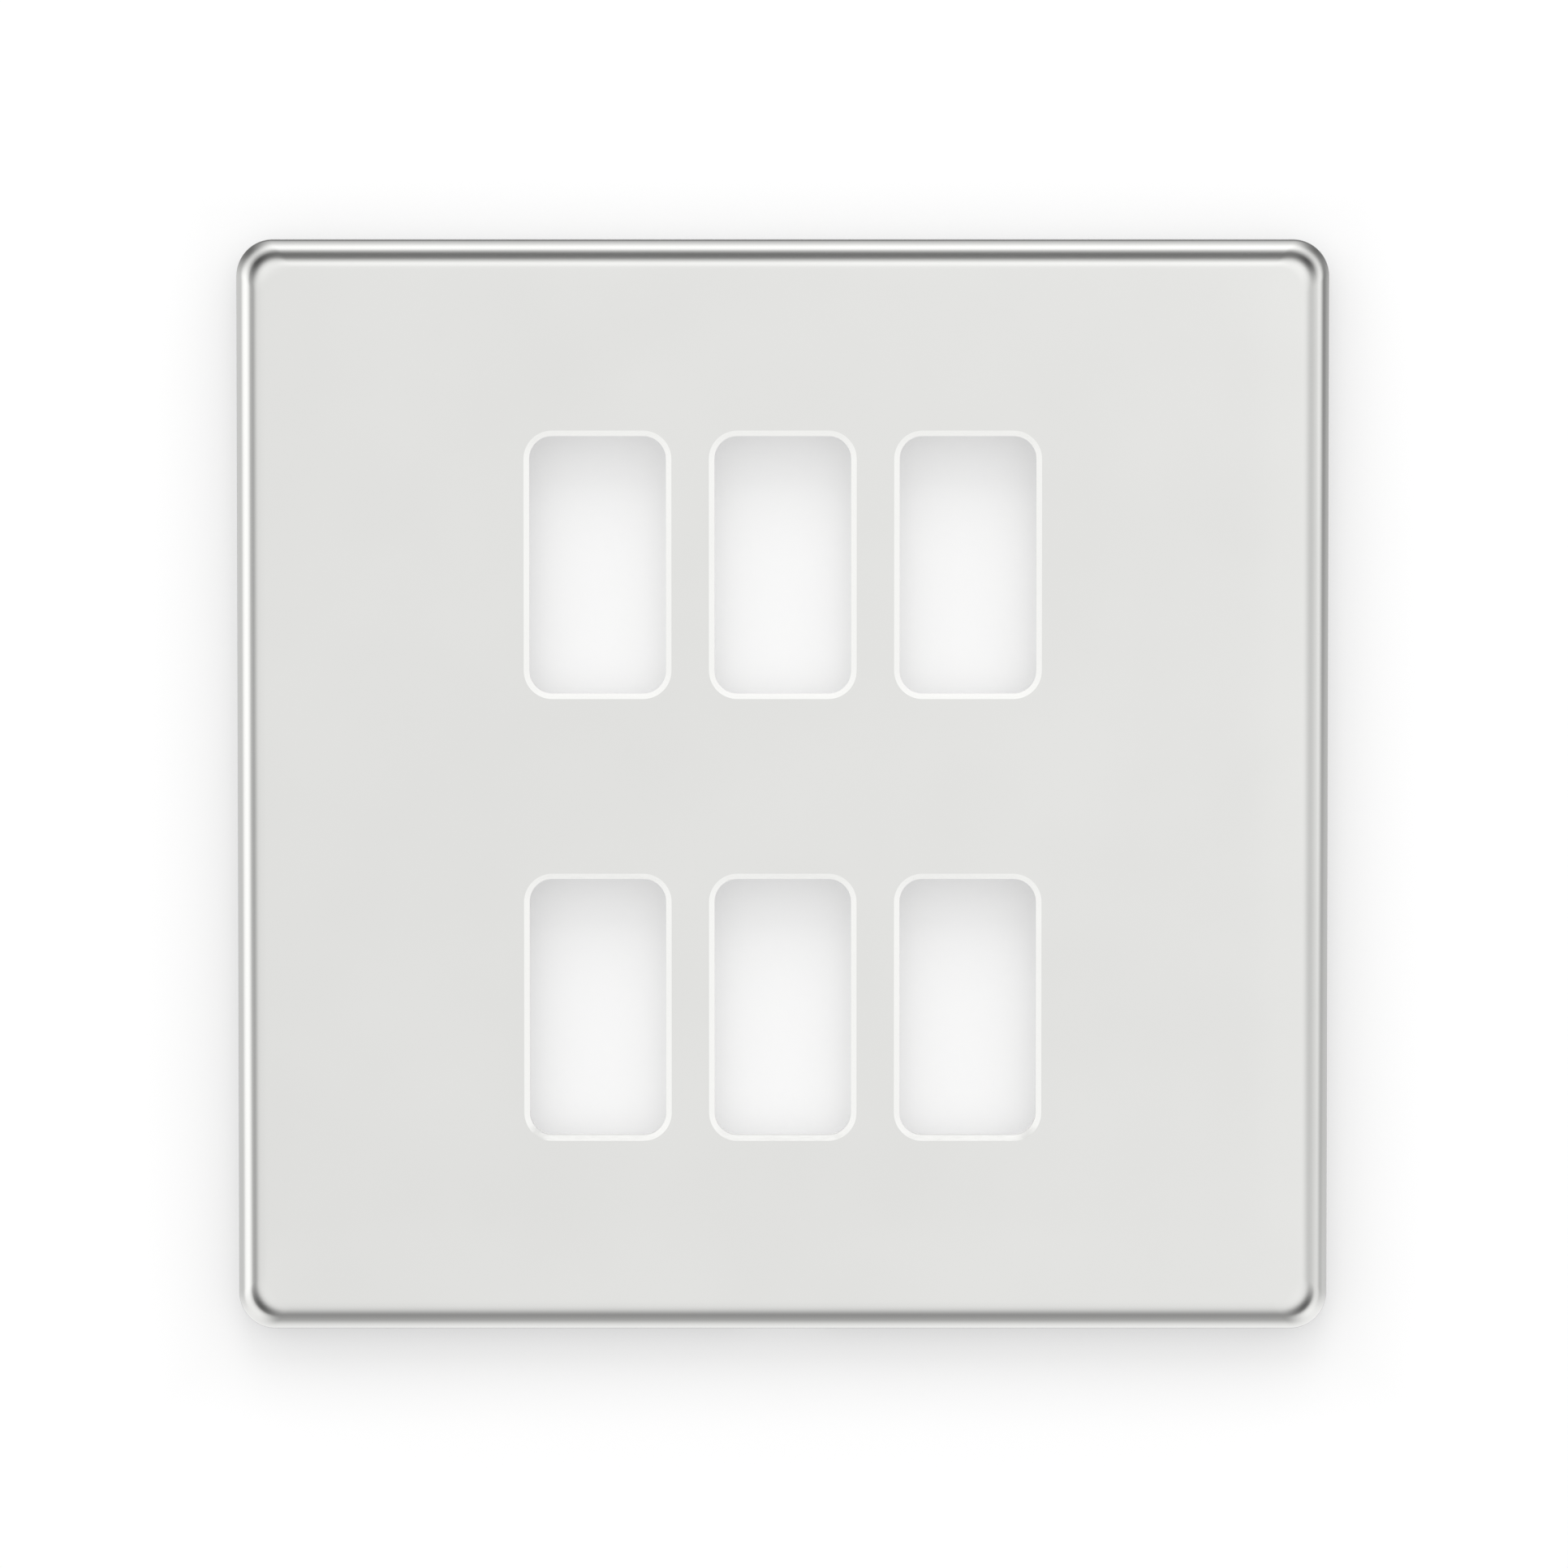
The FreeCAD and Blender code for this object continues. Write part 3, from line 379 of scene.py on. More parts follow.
def clouded(tree, shader, value, colour, dark, light):
    """Lets a finish drift between a darker and a lighter shade of its colour."""
    stops = ((NOISE_LOW, shaded(colour, dark)), (NOISE_HIGH, shaded(colour, light)))
    tree.links.new(colours_between(tree, value, stops), shader.inputs["Base Color"])


def relief(tree, shader, height, strength, distance):
    """A bump from a height value."""
    made = tree.nodes.new("ShaderNodeBump")
    made.inputs["Strength"].default_value = strength
    made.inputs["Distance"].default_value = distance
    tree.links.new(height, made.inputs["Height"])
    tree.links.new(made.outputs["Normal"], shader.inputs["Normal"])


def polished_chrome(look):
    """Bright chrome plating with a faint polish haze."""
    gloss = look.chrome_roughness
    finish, tree, shader = start_finish("polished_chrome", look.chrome, metallic=1.0, roughness=gloss)
    broad = noise(tree, scale=38.0, detail=2.0)
    clouded(tree, shader, broad, look.chrome, dark=0.985, light=1.01)
    haze = noise(tree, scale=900.0, detail=5.0, stretch=(1.0, 1.0, 6.0))
    tree.links.new(spread(tree, haze, low=gloss * 0.75, high=gloss * 1.3), shader.inputs["Roughness"])
    relief(tree, shader, broad, strength=0.02, distance=0.4 * MM)
    return finish


def fine_moulding(look):
    """Pale moulded plastic with a fine spark-eroded texture."""
    finish, tree, shader = start_finish("fine_moulding", look.moulding, metallic=0.0, roughness=0.48)
    cloud = noise(tree, scale=120.0, detail=3.0)
    clouded(tree, shader, cloud, look.moulding, dark=0.96, light=1.03)
    grain = noise(tree, scale=6500.0, detail=2.0)
    tree.links.new(spread(tree, grain, low=0.4, high=0.56), shader.inputs["Roughness"])
    relief(tree, shader, grain, strength=0.25, distance=0.04 * MM)
    return finish


def crystals(tree, scale):
    """A random value for each crystal of a plated sheet."""
    made = tree.nodes.new("ShaderNodeTexVoronoi")
    made.inputs["Scale"].default_value = scale
    tree.links.new(object_points(tree, EVEN), made.inputs["Vector"])
    parts = tree.nodes.new("ShaderNodeSeparateColor")
    tree.links.new(made.outputs["Color"], parts.inputs["Color"])
    return parts.outputs["Red"]


def zinc_plating(look):
    """Zinc-plated sheet: pale crystals, faint rolling lines and a cloudy passivated tint."""
    finish, tree, shader = start_finish("zinc_plating", look.zinc, metallic=1.0, roughness=0.34)
    cloud = noise(tree, scale=90.0, detail=5.0, roughness=0.6)
    crystal = crystals(tree, scale=300.0)
    paler = spread(tree, crystal, low=-0.1, high=0.1, start=0.0, end=1.0)
    tone = calculate(tree, "ADD", cloud, paler)
    warm, cool = (0.55, 0.54, 0.5), (0.68, 0.705, 0.735)
    stops = ((0.25, warm), (0.5, tuple(look.zinc)), (0.75, cool))
    tree.links.new(colours_between(tree, tone, stops), shader.inputs["Base Color"])
    rolled = noise(tree, scale=2600.0, detail=3.0, stretch=(0.04, 1.0, 1.0))
    duller = spread(tree, crystal, low=-0.05, high=0.05, start=0.0, end=1.0)
    gloss = calculate(tree, "ADD", spread(tree, rolled, low=0.24, high=0.4), duller)
    tree.links.new(gloss, shader.inputs["Roughness"])
    relief(tree, shader, rolled, strength=0.12, distance=0.03 * MM)
    return finish


def bright_steel(name, colour, roughness, lines=EVEN):
    """Drawn or turned steel, with fine lines where the points are stretched."""
    finish, tree, shader = start_finish(name, colour, metallic=1.0, roughness=roughness)
    cloud = noise(tree, scale=420.0, detail=3.0)
    clouded(tree, shader, cloud, colour, dark=0.9, light=1.06)
    drawn = noise(tree, scale=5200.0, detail=3.0, stretch=lines)
    gloss = spread(tree, drawn, low=roughness * 0.75, high=roughness * 1.35)
    tree.links.new(gloss, shader.inputs["Roughness"])
    relief(tree, shader, drawn, strength=0.1, distance=0.02 * MM)
    return finish


def copper_alloy(name, colour, roughness):
    """Brass or bronze with a little darker tarnish in patches."""
    finish, tree, shader = start_finish(name, colour, metallic=1.0, roughness=roughness)
    cloud = noise(tree, scale=360.0, detail=5.0, roughness=0.62)
    tarnish = (0.78, 0.72, 0.7)
    dull = tuple(channel * factor for channel, factor in zip(colour, tarnish))
    stops = ((0.28, dull), (0.5, tuple(colour)), (0.8, shaded(colour, 1.08)))
    tree.links.new(colours_between(tree, cloud, stops), shader.inputs["Base Color"])
    gloss = spread(tree, cloud, low=roughness * 1.5, high=roughness * 0.8)
    tree.links.new(gloss, shader.inputs["Roughness"])
    fine = noise(tree, scale=4200.0, detail=2.0)
    relief(tree, shader, fine, strength=0.08, distance=0.02 * MM)
    return finish


# Meshes

def rounded_outline(width, height, grow, radius, steps):
    """Points of a rectangle with round corners, grown on all sides; anticlockwise from the front."""
    half_width, half_height = width / 2 + grow, height / 2 + grow
    points = []
    for turn, (across, upward) in enumerate(((1, -1), (1, 1), (-1, 1), (-1, -1))):
        centre_x = across * (half_width - radius)
        centre_z = upward * (half_height - radius)
        for step in range(steps + 1):
            angle = math.radians(90 * (turn - 1 + step / steps))
            points.append((centre_x + radius * math.cos(angle), centre_z + radius * math.sin(angle)))
    return points


def add_loop(mesh, points, depth, centre=(0.0, 0.0)):
    """A closed row of vertices at a depth from the wall."""
    return [mesh.verts.new((centre[0] + x, -depth, centre[1] + z)) for x, z in points]


def join_loops(mesh, loops):
    """Skins neighbouring rows with four-sided faces."""
    for first, second in zip(loops, loops[1:]):
        count = len(first)
        for spot in range(count):
            after = (spot + 1) % count
            mesh.faces.new((first[spot], first[after], second[after], second[spot]))


def loop_edges(mesh, loop):
    """The edges of a closed row of vertices."""
    return [mesh.edges.get((loop[spot - 1], loop[spot])) for spot in range(len(loop))]


def fill_flat(mesh, outer, holes, normal):
    """A flat face inside an outer row and outside the holes."""
    edges = loop_edges(mesh, outer)
    for hole in holes:
        edges += loop_edges(mesh, hole)
    bmesh.ops.triangle_fill(mesh, use_beauty=True, use_dissolve=False, edges=edges, normal=normal)


def add_piece(name, mesh):
    """Turns a bmesh into an object of the scene."""
    data = bpy.data.meshes.new(name)
    mesh.to_mesh(data)
    mesh.free()
    piece = bpy.data.objects.new(name, data)
    bpy.context.scene.collection.objects.link(piece)
    return piece


def new_piece(name, mesh):
    """Turns a closed bmesh into an object whose faces all point outward."""
    bmesh.ops.recalc_face_normals(mesh, faces=mesh.faces)
    return add_piece(name, mesh)


def discard(piece):
    """Removes an object and its mesh."""
    data = piece.data
    bpy.data.objects.remove(piece)
    bpy.data.meshes.remove(data)


def shade(piece, degrees):
    """Smooth shading, broken at edges sharper than the angle."""
    piece.data.shade_smooth()
    piece.data.set_sharp_from_angle(angle=math.radians(degrees))


def even_shading(piece):
    """Lets flat faces keep their own direction right up to a rounded edge."""
    evened = piece.modifiers.new("even_shading", "WEIGHTED_NORMAL")
    evened.mode = "FACE_AREA"
    evened.weight = 100
    evened.keep_sharp = True


def cut_away(piece, low, high):
    """Removes a box from a piece."""
    mesh = bmesh.new()
    middle = (Vector(low) + Vector(high)) / 2
    size = Vector(high) - Vector(low)
    place = Matrix.Translation(middle) @ Matrix.Diagonal((*size, 1.0))
    bmesh.ops.create_cube(mesh, size=1.0, matrix=place)
    cutter = new_piece("cutter", mesh)
    cut = piece.modifiers.new("cut", "BOOLEAN")
    cut.operation = "DIFFERENCE"
    cut.solver = "EXACT"
    cut.object = cutter
    bpy.context.view_layer.update()
    result = piece.evaluated_get(bpy.context.evaluated_depsgraph_get())
    data = bpy.data.meshes.new_from_object(result)
    piece.modifiers.clear()
    old, piece.data = piece.data, data
    bpy.data.meshes.remove(old)
    discard(cutter)
    data.name = piece.name


def spin(mesh, profile, steps):
    """Turns a profile of (radius, along) points about the Z axis; closed where the radius is nought."""
    rows = []
    for radius, along in profile:
        if radius == 0.0:
            points = [(0.0, 0.0, along)]
        else:
            turns = (2 * math.pi * step / steps for step in range(steps))
            points = [(radius * math.cos(turn), radius * math.sin(turn), along) for turn in turns]
        rows.append([mesh.verts.new(point) for point in points])
    for first, second in zip(rows, rows[1:]):
        for step in range(steps):
            after = (step + 1) % steps
            corners = [first[step % len(first)], first[after % len(first)]]
            corners += [second[after % len(second)], second[step % len(second)]]
            mesh.faces.new(list(dict.fromkeys(corners)))


def thread(mesh, start, end, crest, root, pitch):
    """A helical thread about the Z axis, fading out at both ends; returns its end rows."""
    rows = []
    count = round((end - start) / pitch * THREAD_ROWS)
    for number in range(count + 1):
        along = start + (end - start) * number / count
        fade = min(1.0, (along - start) / pitch, (end - along) / pitch)
        row = []
        for step in range(SCREW_STEPS):
            turn = step / SCREW_STEPS
            phase = (along / pitch - turn) % 1.0
            ridge = max(0.0, min(1.0, RIDGE_REACH - FLANK_SLOPE * abs(phase - 0.5)))
            radius = root + (crest - root) * ridge * fade
            angle = 2 * math.pi * turn
            row.append(mesh.verts.new((radius * math.cos(angle), radius * math.sin(angle), along)))
        rows.append(row)
    join_loops(mesh, rows)
    return rows[0], rows[-1]


def head_profile(radius, height):
    """Radii and places along the axis of a screw's head, from its middle round to its underside."""
    flat, rounding, edge = radius * 0.45, 0.7 * MM, 0.12 * MM
    profile = [(0.0, -height), (flat, -height)]
    for degrees in range(0, 91, 15):
        angle = math.radians(degrees)
        inset, drop = rounding * (1 - math.sin(angle)), rounding * (1 - math.cos(angle))
        profile.append((radius - inset, -height + drop))
    return profile + [(radius, -edge), (radius - edge, 0.0)]


def slotted_screw(radius, height, neck, start, length_under_head, sizes):
    """A threaded screw along Z, with its slotted head's underside at nought and its shank upward."""
    point, tip_share, run_in = 0.8 * MM, 0.62, 0.1 * MM
    crest = sizes.screw_diameter / 2
    root = crest - sizes.thread_depth
    mesh = bmesh.new()
    profile = head_profile(radius, height)
    profile += [(neck, 0.0), (neck, start - run_in), (root, start)]
    spin(mesh, profile, SCREW_STEPS)
    mesh.verts.ensure_lookup_table()
    top = mesh.verts[len(mesh.verts) - SCREW_STEPS:]
    first, last = thread(mesh, start, length_under_head - point, crest, root, sizes.screw_pitch)
    join_loops(mesh, [top, first])
    ends = [(spot.co.x * tip_share, spot.co.y * tip_share, length_under_head) for spot in last]
    tip = [mesh.verts.new(end) for end in ends]
    join_loops(mesh, [last, tip])
    mesh.faces.new(tip)
    bmesh.ops.remove_doubles(mesh, verts=mesh.verts, dist=SAME_PLACE)
    screw = new_piece("screw", mesh)
    past_head, half = radius * 1.2, sizes.slot_width / 2
    low = (-past_head, -half, -height - MM)
    high = (past_head, half, -height + sizes.slot_depth)
    cut_away(screw, low, high)
    return screw


def placed_copies(name, source, places):
    """One piece made of copies of an object's mesh, one at each placement; the source is used up."""
    mesh = bmesh.new()
    for place in places:
        before = len(mesh.verts)
        mesh.from_mesh(source.data)
        mesh.verts.ensure_lookup_table()
        bmesh.ops.transform(mesh, matrix=place, verts=mesh.verts[before:])
    discard(source)
    return new_piece(name, mesh)


def facing_back(x, y, z):
    """Stands a piece's Z axis along plus Y, with its nought at the point."""
    return Matrix.Translation((x, y, z)) @ Matrix.Rotation(math.radians(-90), 4, "X")


def facing_right(x, y, z):
    """Lays a piece's Z axis along plus X, with its nought at the point."""
    return Matrix.Translation((x, y, z)) @ Matrix.Rotation(math.radians(90), 4, "Y")


def dress(node, finish, edge=0.0):
    """Gives a CAD node its finish and, if asked, a fine softened edge."""
    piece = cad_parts[node]
    for spot in piece.material_slots:
        spot.link = "OBJECT"
        spot.material = finish
    if edge > 0.0:
        soft = piece.modifiers.new("softened_edges", "BEVEL")
        soft.width = edge
        soft.segments = 2
        soft.limit_method = "ANGLE"
        soft.angle_limit = math.radians(40)
        soft.use_clamp_overlap = True
        soft.harden_normals = True


def settle(piece, finish, slot, body, *nodes):
    """Finishes a built piece and lets it stand for CAD nodes on their body."""
    piece.data.materials.clear()
    piece.data.materials.append(finish)
    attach(piece, body)
    if nodes:
        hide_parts(*nodes)


# Operators

class GRIDPLATE_OT_front_plate(bpy.types.Operator):
    """Build the pressed chrome plate with its rolled edge and bevelled windows"""

    bl_idname = "grid_plate.front_plate"
    bl_label = "Front plate"

    def section(self, sizes):
        """Insets, depths and corner radii around the sheet's edge, from the face round to its back."""
        edge = 0.12 * MM
        bend = sizes.roll - sizes.sheet
        outer, inner = [], []
        for step in range(ROLL_STEPS + 1):
            angle = math.radians(90 * step / ROLL_STEPS)
            rise, reach = math.cos(angle), 1 - math.sin(angle)
            corner = sizes.corner + (sizes.face_corner - sizes.corner) * reach
            outer.append((sizes.roll * reach, sizes.depth - sizes.roll * (1 - rise), corner))
            inset = sizes.sheet + bend * reach
            inner.append((inset, sizes.depth - sizes.roll + bend * rise, sizes.corner - inset))
        rear = [(0.0, edge), (edge, 0.0), (sizes.sheet - edge, 0.0), (sizes.sheet, edge)]
        return outer + [(inset, depth, sizes.corner - inset) for inset, depth in rear] + inner[::-1]

    def window(self, mesh, sizes, centre):
        """One window in the sheet; returns its front row and its rear row."""
        loops = []
        for grow, depth in (
            (sizes.bevel, sizes.depth),
            (0.0, sizes.depth - sizes.bevel_depth),
            (0.0, sizes.depth - sizes.sheet),
        ):
            corner = sizes.window_corner + grow
            outline = rounded_outline(sizes.window_width, sizes.window_height, grow, corner, WINDOW_STEPS)
            loops.append(add_loop(mesh, outline, depth, centre))
        join_loops(mesh, loops)
        return loops[0], loops[-1]

    def notch(self, plate, sizes):
        """Cuts the prising notch through the sheet in the middle of the bottom edge."""
        past_sheet = 0.07 * MM
        half, bottom = sizes.notch_width / 2, -sizes.height / 2
        low = (-half, -sizes.notch_height, bottom - MM)
        high = (half, MM, bottom + sizes.sheet + past_sheet)
        cut_away(plate, low, high)

    def execute(self, context):
        settings = context.scene.grid_plate
        sizes = settings.plate
        mesh = bmesh.new()
        loops = []
        for inset, depth, corner in self.section(sizes):
            outline = rounded_outline(sizes.width, sizes.height, -inset, corner, CORNER_STEPS)
            loops.append(add_loop(mesh, outline, depth))
        join_loops(mesh, loops)
        fronts, backs = [], []
        for row in (-0.5, 0.5):
            for column in (-1, 0, 1):
                centre = (column * sizes.column_pitch, row * sizes.row_pitch)
                front, back = self.window(mesh, sizes, centre)
                fronts.append(front)
                backs.append(back)
        fill_flat(mesh, loops[0], fronts, Vector((0, -1, 0)))
        fill_flat(mesh, loops[-1], backs, Vector((0, 1, 0)))
        plate = new_piece("pressed_plate", mesh)
        self.notch(plate, sizes)
        shade(plate, degrees=25)
        even_shading(plate)
        settle(plate, polished_chrome(settings.finish), "chrome_plate", "cover", "front_plate")
        return {"FINISHED"}


class GRIDPLATE_OT_carrier(bpy.types.Operator):
    """Dress the moulded carrier and add the marks of its mould"""

    bl_idname = "grid_plate.carrier"
    bl_label = "Clip carrier"

    def ejector_marks(self, sizes):
        """Shallow round marks of ejector pins on the carrier's floor, with sizes in millimetres."""
        floor = 1.5 * MM
        level = sizes.depth - sizes.sheet - floor
        profile = ((2.0, 0.0), (2.0, 0.1), (1.85, 0.12), (1.8, 0.06), (0.0, 0.06))
        mesh = bmesh.new()
        spin(mesh, [(radius * MM, along * MM) for radius, along in profile], MARK_STEPS)
        mark = new_piece("mark", mesh)
        rims = [(x, z) for x in (-62, -12.6, 12.6, 62) for z in (-64, 64)]
        sides = [(x, z) for x in (-69, 69) for z in (-18, 18)]
        bars = [(x, z) for x in (-25.2, 25.2) for z in (-5.5, 5.5)]
        places = [facing_back(x * MM, -level, z * MM) for x, z in rims + sides + bars]
        return placed_copies("ejector_marks", mark, places)

    def execute(self, context):
        settings = context.scene.grid_plate
        moulding = fine_moulding(settings.finish)
        dress("clip_carrier", moulding, edge=0.12 * MM)
        marks = self.ejector_marks(settings.plate)
        shade(marks, degrees=30)
        settle(marks, moulding, "carrier_moulding", "cover")
        return {"FINISHED"}


class GRIDPLATE_OT_grid_frames(bpy.types.Operator):
    """Dress the two zinc-plated grid frames"""

    bl_idname = "grid_plate.grid_frames"
    bl_label = "Grid frames"

    def execute(self, context):
        zinc = zinc_plating(context.scene.grid_plate.finish)
        for row in ROWS:
            dress(f"{row}_grid_frame", zinc, edge=0.1 * MM)
        return {"FINISHED"}


class GRIDPLATE_OT_box_screws(bpy.types.Operator):
    """Build the four threaded screws that hold the frames to the wall box"""

    bl_idname = "grid_plate.box_screws"
    bl_label = "Box screws"

    def execute(self, context):
        settings = context.scene.grid_plate
        sizes = settings.fasteners
        neck, thread_start = 1.45 * MM, 0.4 * MM
        low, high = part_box("box_screws")
        radius, height = sizes.head_diameter / 2, sizes.head_height
        seat = low.y + height
        screw = slotted_screw(radius, height, neck, thread_start - seat, high.y - seat, sizes)
        places = [
            facing_back(x, seat, z)
            for x in (low.x + radius, high.x - radius)
            for z in (low.z + radius, high.z - radius)
        ]
        screws = placed_copies("threaded_box_screws", screw, places)
        shade(screws, degrees=32)
        finish = bright_steel("bright_zinc", settings.finish.screw_zinc, roughness=0.26)
        settle(screws, finish, "zinc_screw", "wall_frame", "box_screws")
        return {"FINISHED"}


class GRIDPLATE_OT_earth_terminals(bpy.types.Operator):
    """Build the brass terminal screws and dress their saddle clamps"""

    bl_idname = "grid_plate.earth_terminals"
    bl_label = "Earth terminals"

    def execute(self, context):
        settings = context.scene.grid_plate
        sizes, brass = settings.fasteners, settings.finish.brass
        neck, thread_start = 1.5 * MM, 0.6 * MM
        turned = copper_alloy("turned_brass", brass, roughness=0.24)
        pressed = copper_alloy("pressed_brass", shaded(brass, 0.95), roughness=0.32)
        radius, height = sizes.earth_head / 2, sizes.earth_height
        for row in ROWS:
            low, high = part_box(f"{row}_earth_screw")
            seat = low.x + height
            screw = slotted_screw(radius, height, neck, thread_start, high.x - seat, sizes)
            middle = (low + high) / 2
            place = facing_right(seat, middle.y, middle.z)
            made = placed_copies(f"{row}_terminal_screw", screw, [place])
            shade(made, degrees=32)
            settle(made, turned, "brass_screw", "wall_frame", f"{row}_earth_screw")
            dress(f"{row}_earth_clamp", pressed, edge=0.15 * MM)
        return {"FINISHED"}


class GRIDPLATE_OT_clips(bpy.types.Operator):
    """Dress the spring clips and the contact strips, and build their rivets"""

    bl_idname = "grid_plate.clips"
    bl_label = "Clips and rivets"

    def rivet(self, sizes, top):
        """A rivet along Z with a domed head and a ring pressed into its flush end."""
        shank, head, height = sizes.rivet_diameter / 2, sizes.rivet_head / 2, sizes.rivet_height
        ring, edge = 0.12 * MM, 0.1 * MM
        under = top - height
        inner, middle, outer = shank * 0.35, shank * 0.45, shank * 0.6
        profile = [(0.0, 0.0), (inner, 0.0), (middle, ring), (outer, 0.0), (shank, 0.0)]
        profile += [(shank, under), (head - edge, under), (head, under + edge)]
        for step in range(1, DOME_STEPS):
            angle = math.radians(90 * step / DOME_STEPS)
            profile.append((head * math.cos(angle), under + edge + (height - edge) * math.sin(angle)))
        profile.append((0.0, top))
        mesh = bmesh.new()
        spin(mesh, profile, RIVET_STEPS)
        return new_piece("rivet", mesh)

    def rivet_spots(self, row):
        """Where a row's rivets go through its clips and its contact strip, seen from the front."""
        clip_hole, strip_hole = 2.5 * MM, 3.0 * MM
        spots = []
        for hand in HANDS:
            for level in LEVELS:
                start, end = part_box(f"{row}_{hand}_{level}_clip")
                x = start.x + clip_hole if hand == "right" else end.x - clip_hole
                spots.append((x, (start.z + end.z) / 2))
        start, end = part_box(f"{row}_earth_spring")
        spots.append(((start.x + end.x) / 2, start.z + strip_hole))
        return spots

    def execute(self, context):
        settings = context.scene.grid_plate
        sizes, look = settings.fasteners, settings.finish
        spring = bright_steel("spring_strip", look.spring, roughness=0.22, lines=(1.0, 0.06, 0.06))
        plain = bright_steel("plain_steel", look.rivet, roughness=0.32)
        bronze = copper_alloy("contact_bronze", look.bronze, roughness=0.26)
        facing_front = Matrix.Rotation(math.radians(90), 4, "X")
        for node in CLIPS:
            dress(node, spring, edge=0.05 * MM)
        for row in ROWS:
            dress(f"{row}_earth_spring", bronze, edge=0.05 * MM)
            low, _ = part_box(f"{row}_clip_rivets")
            places = [Matrix.Translation((x, 0.0, z)) @ facing_front for x, z in self.rivet_spots(row)]
            rivets = placed_copies(f"{row}_domed_rivets", self.rivet(sizes, -low.y), places)
            shade(rivets, degrees=35)
            settle(rivets, plain, "steel_rivet", "wall_frame", f"{row}_clip_rivets")
        return {"FINISHED"}


class GRIDPLATE_OT_stage(bpy.types.Operator):
    """Set up the white wall, the floor, the reflecting cards, the soft light and the camera"""

    bl_idname = "grid_plate.stage"
    bl_label = "Stage"

    def sheet(self, name, finish, mesh, hidden_from):
        """One piece of the stage, hidden from some kinds of rays."""
        piece = add_piece(name, mesh)
        piece.data.materials.append(finish)
        for ray in hidden_from:
            setattr(piece, "visible_" + ray, False)

    def flat(self, name, finish, corners, hidden_from):
        """One flat face of the stage."""
        mesh = bmesh.new()
        mesh.faces.new([mesh.verts.new(corner) for corner in corners])
        self.sheet(name, finish, mesh, hidden_from)

    def bare_finish(self, name):
        """A new material with no shader yet."""
        finish = bpy.data.materials.new(name)
        finish.use_nodes = True
        tree = finish.node_tree
        tree.nodes.remove(tree.nodes["Principled BSDF"])
        return finish, tree

    def axes(self, tree, kind):
        """The three parts of a place on a piece, or of a direction into the room."""
        points = tree.nodes.new("ShaderNodeTexCoord")
        parts = tree.nodes.new("ShaderNodeSeparateXYZ")
        tree.links.new(points.outputs[kind], parts.inputs["Vector"])
        return [parts.outputs[axis] for axis in "XYZ"]

    def choose(self, tree, factor, first, second):
        """Mixes two colours by a factor."""
        made = tree.nodes.new("ShaderNodeMix")
        made.data_type = "RGBA"
        tree.links.new(factor, made.inputs["Factor"])
        tree.links.new(first, made.inputs[COLOUR_FIRST])
        tree.links.new(second, made.inputs[COLOUR_SECOND])
        return made.outputs[COLOUR_MIXED]

    def mixed(self, tree, factor, first, second):
        """Mixes two shaders by a factor."""
        made = tree.nodes.new("ShaderNodeMixShader")
        tree.links.new(factor, made.inputs["Fac"])
        tree.links.new(first, made.inputs[1])
        tree.links.new(second, made.inputs[2])
        return made.outputs["Shader"]

    def one_sided(self, tree, surface):
        """Shows a surface from its front and leaves it clear from behind."""
        side = tree.nodes.new("ShaderNodeNewGeometry")
        clear = tree.nodes.new("ShaderNodeBsdfTransparent")
        chosen = self.mixed(tree, side.outputs["Backfacing"], surface, clear.outputs["BSDF"])
        tree.links.new(chosen, tree.nodes["Material Output"].inputs["Surface"])

    def wall_glow_and_painted_shade(self, tree, look, half):
        """The wall's own glow. It is lower near the plate and behind it, as a painted shade, and rises
        between two distances off the plate to its full level.
        """
        x, _, z = self.axes(tree, "Object")
        across, upward = (calculate(tree, "ABSOLUTE", place) for place in (x, z))
        reach = calculate(tree, "MAXIMUM", across, upward)
        low, high = look.wall_glow, look.wall_glow + look.painted_shade_depth
        return spread(tree, reach, low, high, start=half + PAINTED_SHADE_FADE_START, end=half + PAINTED_SHADE_FADE_END)

    def white_wall(self, look, half):
        """A wall that is white by itself, takes part of the plate's shadow, and has a painted shade near
        and behind the plate.
        """
        finish, tree = self.bare_finish("white_wall")
        matt = tree.nodes.new("ShaderNodeBsdfDiffuse")
        matt.inputs["Color"].default_value = (*grey(look.wall_shade), 1.0)
        glow = tree.nodes.new("ShaderNodeEmission")
        tree.links.new(self.wall_glow_and_painted_shade(tree, look, half), glow.inputs["Strength"])
        both = tree.nodes.new("ShaderNodeAddShader")
        tree.links.new(matt.outputs["BSDF"], both.inputs[0])
        tree.links.new(glow.outputs["Emission"], both.inputs[1])
        self.one_sided(tree, both.outputs["Shader"])
        return finish

    def pale_floor(self):
        """A pale floor with faint broad patches."""
        middle, dark, light = (0.86, 0.86, 0.855), (0.85, 0.85, 0.845), (0.88, 0.88, 0.875)
        finish, tree, shader = start_finish("pale_floor", middle, metallic=0.0, roughness=0.75)
        patch = noise(tree, scale=3.0, detail=2.0)
        stops = ((NOISE_LOW, dark), (NOISE_HIGH, light))
        tree.links.new(colours_between(tree, patch, stops), shader.inputs["Base Color"])
        self.one_sided(tree, shader.outputs["BSDF"])
        return finish

    def backdrop(self, look, sizes):
        """The wall behind the plate and a floor well below it."""
        corners = ((-1, -1), (1, -1), (1, 1), (-1, 1))
        square = [(across * WALL_REACH, onward * WALL_REACH) for across, onward in corners]
        upright = [(x, WALL_BACK, z) for x, z in square]
        level = [(x, y, FLOOR_LEVEL) for x, y in square]
        self.flat("wall", self.white_wall(look, sizes.width / 2), upright, OFF_WALL)
        self.flat("floor", self.pale_floor(), level, OFF_FLOOR)

    def half_turns(self, row):
        """A row of levels with its angles as parts of a half turn."""
        return [(degrees / 180, level) for degrees, level in row]

